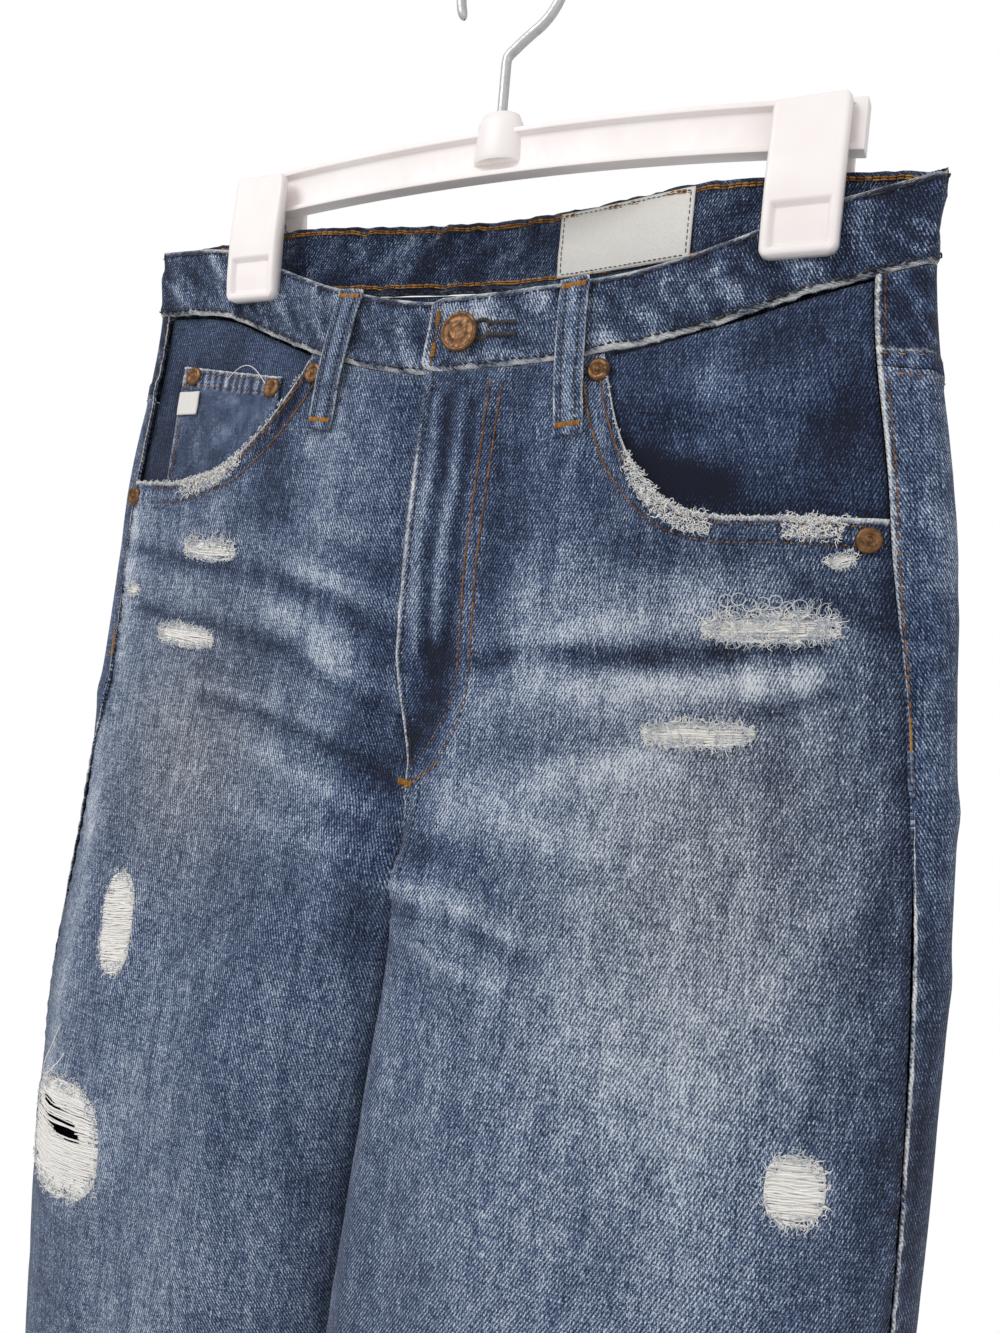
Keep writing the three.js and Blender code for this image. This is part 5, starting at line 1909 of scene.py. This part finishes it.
    def back(self, side: Side) -> Piece:
        """A patch pocket on the back with a turned top and double rows."""
        t = np.linspace(0, 1, 60)[:, None]
        w0 = np.linspace(0.3, 0.7, 50)[None]
        middle = 1 - np.abs(w0 - 0.5) / 0.2
        z = mix(-104 + 4 * (w0 - 0.5), -232 - 16 * middle, t)
        w = mix(w0, 0.5 + (w0 - 0.5) * 0.9, t)
        grid = Form.point(side, False, w, z)
        name = f"back_pocket_{side.name.lower()}"
        shell = Shell(f"{name}_piece", grid, side.value, 1.2, inset=-1.7, patch=44 + side.value)
        x = grid[..., 0]
        base = Backs.relief(w, x, z)
        drop = t * 130 + 0 * w0
        edge = np.minimum(np.minimum(w0 - 0.3, 0.7 - w0) / 0.4 * 128, (1 - t) * 130)
        hem = ease((14 - drop) / 1.5)
        rim = np.minimum(edge, drop)
        shell.relief = (base + 0.35 * hem - 0.45 * bell(rim, 1.0) - 0.25 * bell(edge - 2.5, 0.7)
                        + 0.2 * np.sin(drop / 1.1) * bell(edge - 3, 3))
        shell.fade = 0.44 + 0.1 * bell(drop - 66, 44) + 0.07 * wander(x, z, 20, 26, 90)
        shell.fade = shell.fade - 0.08 * bell(edge - 9, 5) + 0.05 * hem
        shell.worn = 0.7 * bell(rim, 1.2) * (0.8 + 0.4 * wander(x, z, 7, 7, 91))
        made = dress(shell.build(self.finishes.denim), "denim", name, flat=(0.13, 0.148), area=0.0175, held="hung",
                     rests_on=[f"back_panel_{side.name.lower()}"])
        outer = shell.outer()
        normal = grid_normals(outer, side.value)
        for inset in (1, 3):
            ring = [(r, inset) for r in range(1, 58 - inset)]
            ring += [(58 - inset, c) for c in range(inset, 50 - inset)]
            ring += [(r, 49 - inset) for r in range(57 - inset, 0, -1)]
            r, c = np.array(ring).T
            self.sewing.row(outer[r, c], normal[r, c], "gold")
        self.sewing.row(outer[6, 1:-1], normal[6, 1:-1], "gold")
        for column in (1, 48):
            self.sewing.tack(outer[1, column], outer[5, column], np.array([1.0, 0, 0]), normal[2, column])
        return made

    def label(self) -> Piece:
        """The blank cloth label sewn inside the back of the band."""
        xs = np.linspace(24, 92, 40)
        wide = float(keyed(Form.half, -10.0) - keyed(Form.fold, -10.0))
        v = np.linspace(-1.5, -31, 20)[:, None]
        w = np.broadcast_to((xs + 4) / wide * 0.8, (20, 40))
        grid = Form.point(Side.LEFT, False, w, Form.back_top(xs)[None] + v)
        shell = Shell("waist_label_piece", grid, 1, 0.6, inset=2.2, patch=48)
        shell.relief = -0.3 * ease(wander(grid[..., 0], grid[..., 2], 14, 12, 92)) + 0.25 * bell(v + 1.5, 1.2)
        made = dress(shell.build(self.finishes.label), "white_cotton", "waist_label", flat=(0.068, 0.03),
                     held="stretched", rests_on=["waistband_strip"])
        inner = shell.outer() - grid_normals(shell.outer(), 1) * 0.65
        for r, c in ((slice(1, 19), 1), (slice(1, 19), 38), (1, slice(1, 39)), (18, slice(1, 39))):
            n = len(inner[r, c])
            self.sewing.row(inner[r, c], np.tile([0.0, -1.0, 0.0], (n, 1)), "dark", pitch=2.6, radius=0.2)
        return made

    def build(self) -> list[Piece]:
        """Makes every pocket piece and the label."""
        made = [self.label()]
        for side in Side:
            made += [self.facing(side), self.bag(side), self.back(side)]
        return made + self.coin()


@dataclass
class Damage:
    """Bared weft, fringe, curls and loose threads of the rips and frayed edges."""

    finishes: Finishes
    rng: np.random.Generator = field(default_factory=lambda: np.random.default_rng(23))
    waiting: list[tuple[Strands, Side, Array, Array, Array, Array, float]] = field(default_factory=list)

    def lay(self, out: Strands, side: Side, x: Array, z: Array, lift: Array, radius: Array,
            tone: float) -> None:
        """Keeps a thread until all can be laid on the cloth at once.

        Args:
            out: its bundle.
            side: which front it lies on.
            x: places across.
            z: heights.
            lift: heights off the cloth.
            radius: half the thickness at each place.
            tone: 0 dark to 1 light.
        """
        lift, radius = np.broadcast_to(lift, x.shape), np.broadcast_to(radius, x.shape)
        self.waiting.append((out, side, x, z, lift, radius, tone))

    def settle(self) -> None:
        """Lays the kept threads on the cloth."""
        for side in Side:
            mine = [job for job in self.waiting if job[1] is side]
            x, z, lift = (np.concatenate([job[k] for job in mine]) for k in (2, 3, 4))
            points, normal = Skin.at(side, x, z)
            points = points + normal * lift[:, None]
            start = 0
            for out, _, px, _, _, radius, tone in mine:
                out.add(points[start:start + len(px)], radius, tone)
                start += len(px)
        self.waiting.clear()

    def wefts(self, rip: Rip, out: Strands) -> None:
        """White cross threads left in a rip."""
        count = max(8, int(rip.half_height * 2 / 0.40))
        for layer in range(3):
            for i in range(count):
                v = (i + self.rng.uniform(-0.4, 0.4)) / (count - 1) * 2 - 1
                half = max(0.0, 1 - min(1, abs(v)) ** 2.6) ** (1 / 2.6) * 1.02 + 0.06
                a, b = -half, half
                hole = abs(v - 0.28) < rip.open_share
                if hole and self.rng.uniform() < 0.88:
                    middle = -0.1 + (0.28 - v) * 1.5
                    gap = 0.5 * math.sqrt(1 - ((v - 0.28) / rip.open_share) ** 2) * self.rng.uniform(0.8, 1.15)
                    a, b = (-half, middle - gap) if self.rng.uniform() < 0.5 else (middle + gap, half)
                elif layer and self.rng.uniform() < 0.2:
                    if self.rng.uniform() < 0.5:
                        b = self.rng.uniform(-0.5, 0.6)
                    else:
                        a = self.rng.uniform(-0.6, 0.5)
                if b - a < 0.1:
                    continue
                u = np.linspace(a, b, 11)
                sag = self.rng.uniform(-0.3, 0.8) + (1.6 if rip.open_share and v < 0.2 else 0.0)
                x, z = rip.world(u, np.full(11, v))
                z = z - sag * (1 - u**2)
                z = z + self.rng.normal(0, 0.3) * np.sin(np.linspace(0, np.pi * self.rng.uniform(1, 2.6), 11))
                z = z + 0.25 * wander(x, z + i * 3.1, 2.6, 2.6, 100 + layer)
                lift = -0.4 * layer + 0.45 * wander(x, z * 0 + i * 7.7, 5, 3, 102) + self.rng.normal(0, 0.12)
                radius = 0.4 * self.rng.uniform(0.75, 1.3)
                # painted shade: each deeper layer of weft is darker
                self.lay(out, rip.side, x, z, lift, radius, self.rng.uniform(0.3, 1.0) - 0.12 * layer)

    def curl(self, out: Strands, side: Side, x: float, z: float, length: float, down: float, curlness: float,
             radius: float, tone: float, lift: float = 0.2) -> None:
        """One short loose end that starts at x, z."""
        n = 7
        t = np.linspace(0, 1, n)
        heading = math.radians(down) + self.rng.normal(0, 0.5)
        bend = heading + curlness * self.rng.normal(0, 1.6) * t
        bend = bend + curlness * 1.2 * np.sin(t * self.rng.uniform(2, 7) + self.rng.uniform(0, 6))
        step = length / (n - 1)
        px = x + np.concatenate([[0], np.cumsum(np.cos(bend[:-1]))]) * step
        pz = z + np.concatenate([[0], np.cumsum(np.sin(bend[:-1]))]) * step
        rise = np.sin(t * np.pi * 0.8) * self.rng.uniform(0.1, 1.3) * curlness + 0.1 + lift
        self.lay(out, side, px, pz, rise, radius * (1 - 0.45 * t), tone)

    def fray(self, rip: Rip, white: Strands, blue: Strands) -> None:
        """Fringe round the rim of a rip."""
        scale = max(0.6, rip.half_width / 14)
        for up in (True, False):
            for _ in range(int(90 * scale * rip.tuft)):
                u = self.rng.uniform(-1, 1)
                v = (1 if up else -1) * max(0.05, 1 - abs(u) ** 2.6) ** (1 / 2.6) * self.rng.uniform(0.82, 1.12)
                x, z = rip.world(u, v)
                length = (rip.fray_up if up else rip.fray_down) * self.rng.uniform(0.35, 1.1)
                outward = self.rng.uniform() < (0.6 if up else 0.5)
                heading = 90 if outward == up else -90
                bundle = blue if self.rng.uniform() < 0.62 else white
                tone = self.rng.uniform(0.2, 1)
                self.curl(bundle, rip.side, float(x), float(z), length, heading, 0.9, 0.23, tone, 0.3)
        for _ in range(int(26 * scale)):
            end = self.rng.choice([-1, 1])
            x, z = rip.world(end * 0.98, self.rng.uniform(-0.85, 0.85))
            length, tone = self.rng.uniform(1.5, 4), self.rng.uniform(0.4, 1)
            self.curl(white, rip.side, float(x), float(z), length, 0 if end > 0 else 180, 0.7, 0.2, tone)

    def edges(self, white: Strands, blue: Strands) -> None:
        """Fraying along the pocket mouths, and fine lint on the worn folds."""
        for side, spans in ((Side.LEFT, ((86, 122, 420, 4.6), (150, 171, 260, 4.6), (71, 176, 200, 1.8))),
                            (Side.RIGHT, ((112, 152, 300, 4.2), (84, 186, 200, 1.8)))):
            mouth = Form.mouth[side]
            for a, b, count, length in spans:
                for _ in range(count):
                    d = self.rng.uniform(a, b)
                    z = float(keyed(mouth, d)) + self.rng.uniform(-8.5 if length > 3 else -1.0, 0.3)
                    bundle = white if self.rng.uniform() < 0.75 else blue
                    heading = self.rng.choice([75.0, -90.0, 20.0, 160.0], p=[0.35, 0.3, 0.15, 0.2])
                    reach, tone = length * self.rng.uniform(0.3, 1.0), self.rng.uniform(0.4, 1)
                    self.curl(bundle, side, side.value * d - 4, z, reach, heading, 1.1, 0.24, tone, 0.5)

    def loose(self, white: Strands, blue: Strands) -> None:
        """The long loose threads: one arcs in the right mouth, two rise from the knee."""
        t = np.linspace(0, 1, 40)
        arc_x = mix(-140, -111, t)
        points = Form.front_at(arc_x, -72 + 9 * np.sin(t * np.pi) - 3 * t)
        points[:, 1] += 0.6 - 1.6 * np.sin(t * np.pi)
        white.add(points, 0.22, 0.9)
        for shift, tall in ((0, 30), (6, 18)):
            x = -190 + shift + 4 * np.sin(t * 2.5) + 13 * t
            self.lay(white, Side.RIGHT, x, -428 + tall * t, 0.8 + 1.6 * np.sin(t * np.pi), 0.26, 1.0)
        for k in range(7):
            x = 128 + 4.5 * k + 2.6 * np.cos(t * 5.6 + k)
            z = -166.5 + 2.4 * np.sin(t * 5.6 + k) + 1.2 * math.sin(2.1 * k)
            self.lay(blue, Side.LEFT, x, z, 0.7 + 0.9 * np.sin(t * np.pi) ** 2, 0.24, 0.75)

    def build(self) -> list[Piece]:
        """Makes one mesh of wefts for each side and the two frays."""
        bundles = {}
        white, blue = Strands("frayed_white_ends", 3), Strands("frayed_blue_ends", 3)
        for side in Side:
            bundles[side] = wefts = Strands(f"bared_wefts_{side.name.lower()}", 3)
            for rip in RIPS:
                if rip.side is side:
                    self.wefts(rip, wefts)
                    self.fray(rip, white, blue)
        self.edges(white, blue)
        self.loose(white, blue)
        self.settle()
        made = [bundles[side].build(self.finishes.weft) for side in Side]
        made += [white.build(self.finishes.weft), blue.build(self.finishes.fuzz)]
        return [dress(piece, "denim") for piece in made]


@dataclass
class Metal:
    """Rivets and the waist button, turned about the cloth's normal."""

    finishes: Finishes
    rivet: Profile = (
        (0, 0), (4.7, 0), (5.0, 0.25), (4.95, 0.6), (4.5, 1.15), (3.7, 1.4), (2.9, 1.32), (2.3, 1.0),
        (1.95, 0.78), (1.6, 0.8), (1.3, 1.05), (0.95, 1.5), (0.5, 1.68), (0, 1.72),
    )
    button: Profile = (
        (0, 0), (4, 0), (4, 2), (8.0, 2), (8.8, 2.4), (9.0, 3.0), (8.85, 3.7), (8.3, 4.2), (7.7, 4.15),
        (7.2, 3.8), (6.7, 3.7), (4.4, 3.85), (3.9, 4.1), (3.2, 4.15), (2.6, 3.9), (1.2, 3.85), (0, 3.9),
    )

    def turned(self, node: str, profile: Profile, at: Array, normal: Array, segments: int) -> Piece:
        """A round piece about its normal."""
        mesh = bmesh.new()
        n = Vector(normal.tolist())
        u = n.orthogonal().normalized()
        v = n.cross(u)
        centre = Vector(at.tolist())
        rings = []
        for r, h in profile:
            if r == 0:
                rings.append([mesh.verts.new(centre + n * h)])
                continue
            ring = []
            for k in range(segments):
                a = 2 * math.pi * k / segments
                dent = 1 + 0.012 * math.sin(3 * a + h) + 0.008 * math.sin(7 * a)
                out = u * math.cos(a) + v * math.sin(a)
                ring.append(mesh.verts.new(centre + n * h + out * min(r * dent, r + 0.05)))
            rings.append(ring)
        for low, high in zip(rings[:-1], rings[1:]):
            for k in range(segments):
                j = (k + 1) % segments
                corners = [low[k % len(low)], low[j % len(low)], high[j % len(high)], high[k % len(high)]]
                unique = list(dict.fromkeys(corners))
                if len(unique) > 2:
                    mesh.faces.new(unique)
        return finish_mesh(mesh, f"{node}_head", self.finishes.copper, "aged_copper", node)

    def build(self) -> list[Piece]:
        """Makes six rivets and the button."""
        made = []
        for node, x, z, lift in (
            ("rivet_left_mouth", 65.5, -75.5, 1.0),
            ("rivet_left_side", 176.5, -140.5, 1.1),
            ("rivet_right_mouth", -79.5, -71.5, 1.0),
            ("rivet_right_side", -193.5, -131, 1.1),
            ("rivet_coin_outer", -163.5, -67.5, -1.2),
            ("rivet_coin_inner", -107, -76.5, -1.2),
        ):
            here = Form.front_at(x, z)
            across = Form.front_at(x + 3, z) - Form.front_at(x - 3, z)
            down = Form.front_at(x, z - 3) - Form.front_at(x, z + 3)
            normal = -np.cross(across, down)
            normal /= np.linalg.norm(normal)
            made.append(self.turned(node, self.rivet, here + normal * lift, normal, 32))
        here = Form.front_at(0.5, -58)
        normal = np.array([0.0, -0.995, 0.1])
        facing = normal / np.linalg.norm(normal)
        made.append(self.turned("waist_button", self.button, here + normal * 1.1, facing, 48))
        return made


@dataclass
class Hanger:
    """A plain clip hanger: arched bar, wire hook and two sprung clips."""

    finishes: Finishes
    clips: tuple[float, float] = (-127.5, 139.5)
    clip_width: float = 30.0
    face: float = 7.2
    wire: float = 2.3
    turn: float = 24.0

    @staticmethod
    def arch(x: float) -> float:
        """The bar's lower edge."""
        return 10 + 8 * (1 - (x / 150) ** 2)

    def bar(self) -> Piece:
        """The bar: a web with a flange above and below, and a boss for the hook."""
        mesh = bmesh.new()
        section = [(-4, 0), (4, 0), (4, 2.2), (1.4, 3.0), (1.4, 17.0), (4, 17.8),
                   (4, 20), (-4, 20), (-4, 17.8), (-1.4, 17.0), (-1.4, 3.0), (-4, 2.2)]
        xs = np.linspace(self.clips[0] - 20, self.clips[1] + 20, 70)
        rings = []
        for i, x in enumerate(xs):
            end = min(i, len(xs) - 1 - i)
            thick = 1.0 if end > 1 else 4.0 / 1.4
            profile = [(y * (thick if abs(y) < 2 else 1), self.arch(x) + h) for y, h in section]
            rings.append([mesh.verts.new((x, y, z)) for y, z in profile])
        for a, b in zip(rings[:-1], rings[1:]):
            for k in range(len(section)):
                j = (k + 1) % len(section)
                mesh.faces.new((a[k], a[j], b[j], b[k]))
        mesh.faces.new(rings[0][::-1])
        mesh.faces.new(rings[-1])
        ring = [(math.cos(2 * math.pi * i / 24), math.sin(2 * math.pi * i / 24)) for i in range(24)]
        boss = [(24, 11.6, 6.6), (26, 12, 7), (41, 11, 6.6), (45, 9, 5.6), (46, 7, 4.6)]
        loops = [[mesh.verts.new((rx * c, ry * s, z)) for c, s in ring] for z, rx, ry in boss]
        for low, high in zip(loops[:-1], loops[1:]):
            for i in range(24):
                j = (i + 1) % 24
                mesh.faces.new((low[i], low[j], high[j], high[i]))
        mesh.faces.new(loops[0][::-1])
        mesh.faces.new(loops[-1])
        made = finish_mesh(mesh, "hanger_bar_body", self.finishes.plastic, "hanger_plastic", "hanger_bar")
        bevel = made.modifiers.new("edges", "BEVEL")
        bevel.width = 0.6 * MM
        bevel.segments = 3
        bevel.limit_method = "ANGLE"
        bevel.angle_limit = math.radians(38)
        return made

    def hook(self) -> Piece:
        """The wire hook, from the boss over the rail to its rounded tip."""
        centre = SEAT_Z - self.turn
        radius = self.turn + self.wire
        turns = np.radians(np.linspace(-62, 205, 60))
        bend = [(radius * math.cos(a), centre + radius * math.sin(a)) for a in turns]
        lean = (bend[0][0] * 0.42, mix(72, bend[0][1], 0.42))
        control = [(0, 30.4), (0, 45), (0, 58), (0, 70), lean, *bend]
        points = np.array([(x, 0.0, z) for x, z in control])
        t = np.linspace(0, len(points) - 1, 200)
        smooth = np.stack([keyed(tuple(zip(range(len(points)), points[:, k])), t) for k in range(3)], -1)
        size = np.full(200, self.wire)
        size[-8:] *= np.sqrt(np.clip(1 - np.linspace(0, 0.98, 8) ** 2, 0, 1))
        strands = Strands("hanger_hook_wire", 16)
        strands.add(smooth, size, 0.5)
        return dress(strands.build(self.finishes.steel), "hanger_steel", "hanger_hook")

    def jaw(self, x: float, word: str, front: bool) -> Piece:
        """A clip jaw: a crowned plate with a grip recess on the front one."""
        half = self.clip_width / 2
        columns, levels = (45, 81) if front else (25, 41)
        u, v = np.meshgrid(np.linspace(-1, 1, columns), np.linspace(0, 1, levels))
        pz = mix(-32.0, 30.0, v)
        to_end = np.clip(np.minimum(pz + 32, 30 - pz), 0, 4)
        px = x + u * (half - 4 + np.sqrt(16 - (4 - to_end) ** 2))
        edge = np.minimum(half * (1 - np.abs(u)), np.minimum(pz + 32, 30 - pz))
        rounding = 1.8 * (1 - np.sqrt(np.clip(1 - (1 - np.clip(edge / 1.8, 0, 1)) ** 2, 0, 1)))
        depth = rounding + 2.6 * ease((pz + 8) / 38) + 0.8 * ease((-18 - pz) / 14)
        if front:
            inside = np.minimum(half - 4.2 - np.abs(px - x), np.minimum(pz + 28, -12 - pz))
            depth = depth + 2.2 * ease(inside / 1.4 + 0.5)
        sign = -1 if front else 1
        outer = np.stack([px, sign * (self.face + 6 - depth), pz], -1)
        inner = np.stack([px, np.full(px.shape, sign * self.face), pz], -1)
        rows, cols = px.shape
        index = np.arange(rows * cols).reshape(rows, cols)
        a, b = index[:-1, :-1].ravel(), index[:-1, 1:].ravel()
        c, d = index[1:, 1:].ravel(), index[1:, :-1].ravel()
        back = rows * cols
        faces = [np.stack([a, b, c, d], 1), np.stack([a, d, c, b], 1) + back]
        rim = np.concatenate([index[0, :-1], index[:-1, -1], index[-1, :0:-1], index[:0:-1, 0]])
        after = np.roll(rim, -1)
        faces.append(np.stack([after, rim, rim + back, after + back], 1))
        joined = np.concatenate(faces)
        if not front:
            joined = joined[:, ::-1]
        node = f"clip_{word}_{'front' if front else 'back'}"
        places = np.concatenate([outer.reshape(-1, 3), inner.reshape(-1, 3)])
        return dress(object_from(f"{node}_jaw", places, joined, self.finishes.plastic), "hanger_plastic", node)

    def spring(self, x: float, word: str) -> Piece:
        """The coil on its pin between the jaws."""
        strands = Strands(f"clip_{word}_pivot_spring", 8)
        turns = np.linspace(0, 2 * math.pi * 9, 180)
        z = 7.6
        coil = np.stack([x - 7.5 + 15 * turns / turns[-1], 2.0 * np.cos(turns), z + 2.0 * np.sin(turns)], -1)
        strands.add(coil, 0.6, 0.6)
        strands.add(np.array([[x - 9, 0, z], [x, 0, z], [x + 9, 0, z]]), 1.6, 0.4)
        for sign in (-1, 1):
            end = x + sign * 7.5
            leg = [[end, sign * 2.0, z], [end, sign * 5.5, z - 1.0], [x + sign * 3, sign * 6.2, z - 1.8]]
            strands.add(np.array(leg), 0.6, 0.5)
        return dress(strands.build(self.finishes.steel), "hanger_steel", f"clip_{word}_pivot")

    def build(self) -> list[Piece]:
        """Makes the hanger's pieces."""
        made = [self.bar(), self.hook()]
        for x, word in zip(self.clips, ("right", "left")):
            made += [self.jaw(x, word, True), self.jaw(x, word, False), self.spring(x, word)]
        return made


# ------------------------------------------------------------------ the studio


@dataclass(frozen=True)
class Studio:
    """Camera, soft lights and a plain pale floor."""

    place: tuple[float, float, float] = (225.9, -412.7, -186.4)
    heading: float = 26.15
    pitch: float = 1.83
    roll: float = 5.03
    lens: float = 27.71
    floor_z: float = -1.19

    def camera(self) -> Piece:
        """The camera, close in front, a little to the wearer's left and below the waist."""
        th, pi, ro = (math.radians(a) for a in (self.heading, self.pitch, self.roll))
        r = Vector((math.cos(th), math.sin(th), 0))
        w = Vector((-math.sin(th) * math.cos(pi), math.cos(th) * math.cos(pi), -math.sin(pi)))
        u = r.cross(w)
        right = r * math.cos(ro) + u * math.sin(ro)
        up = u * math.cos(ro) - r * math.sin(ro)
        data = bpy.data.cameras.new("camera")
        data.sensor_fit = "AUTO"
        data.sensor_width = 36
        data.lens = self.lens
        data.clip_start = 0.02
        made = bpy.data.objects.new("camera", data)
        matrix = Matrix.Identity(4)
        for i in range(3):
            matrix[i][0], matrix[i][1], matrix[i][2] = right[i], up[i], -w[i]
            matrix[i][3] = (self.place[i] - (SEAT_Z if i == 2 else 0)) * MM
        made.matrix_world = matrix
        bpy.context.scene.collection.objects.link(made)
        bpy.context.scene.camera = made
        return made

    @staticmethod
    def light(name: str, at: tuple[float, float, float], aim: tuple[float, float, float], size: float,
              power: float) -> None:
        """One large soft light."""
        data = bpy.data.lights.new(name, "AREA")
        data.shape = "SQUARE"
        data.size = size
        data.energy = power
        made = bpy.data.objects.new(name, data)
        made.location = at
        made.rotation_euler = (Vector(aim) - Vector(at)).to_track_quat("-Z", "Y").to_euler()
        bpy.context.scene.collection.objects.link(made)

    def build(self, finishes: Finishes) -> None:
        """Makes the whole studio."""
        self.camera()
        world = bpy.data.worlds.new("studio")
        world.use_nodes = True
        nodes, links = world.node_tree.nodes, world.node_tree.links
        soft = nodes["Background"]
        soft.inputs[0].default_value = (1, 1, 1, 1)
        soft.inputs[1].default_value = 0.62
        bright = nodes.new("ShaderNodeBackground")
        seen = nodes.new("ShaderNodeLightPath")
        both = nodes.new("ShaderNodeMixShader")
        bright.inputs[0].default_value = (1, 1, 1, 1)
        links.new(seen.outputs["Is Camera Ray"], both.inputs[0])
        links.new(soft.outputs[0], both.inputs[1])
        links.new(bright.outputs[0], both.inputs[2])
        links.new(both.outputs[0], nodes["World Output"].inputs[0])
        bpy.context.scene.world = world
        bpy.context.scene.view_settings.view_transform = "Standard"
        self.light("key", (-1.0, -1.7, 1.1), (0.0, 0.0, -0.45), 1.1, 24)
        self.light("fill", (1.6, -1.4, 0.0), (0.05, 0.0, -0.5), 1.4, 5)
        mesh = bmesh.new()
        bmesh.ops.create_circle(mesh, cap_ends=True, segments=96, radius=0.75)
        for vert in mesh.verts:
            vert.co.z = self.floor_z
        data = bpy.data.meshes.new("floor")
        mesh.to_mesh(data)
        mesh.free()
        data.materials.append(finishes.floor)
        floor = bpy.data.objects.new("floor", data)
        bpy.context.scene.collection.objects.link(floor)


def report(pieces: list[Piece]) -> None:
    """Logs each piece with its face count."""
    for piece in pieces:
        LOG.info("%s: %d faces", piece.name, len(piece.data.polygons))


def main() -> None:
    """Builds the scene."""
    logging.basicConfig(level=logging.INFO, format="%(message)s")
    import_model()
    finishes = Finishes()
    Studio().build(finishes)
    sewing = Sewing()
    report(Fronts(finishes, sewing).build())
    backs = Backs(finishes, sewing)
    report(backs.build())
    backs.hems()
    report([Waistband(finishes, sewing).build()])
    report(BeltLoops(finishes, sewing).build())
    report(Fly(finishes).build())
    report(Pockets(finishes, sewing).build())
    report(Damage(finishes).build())
    report(Metal(finishes).build())
    report(Hanger(finishes).build())
    stitches = sewing.build(finishes)
    report([dress(piece, "denim") for piece in stitches])


if __name__ == "__main__":
    main()
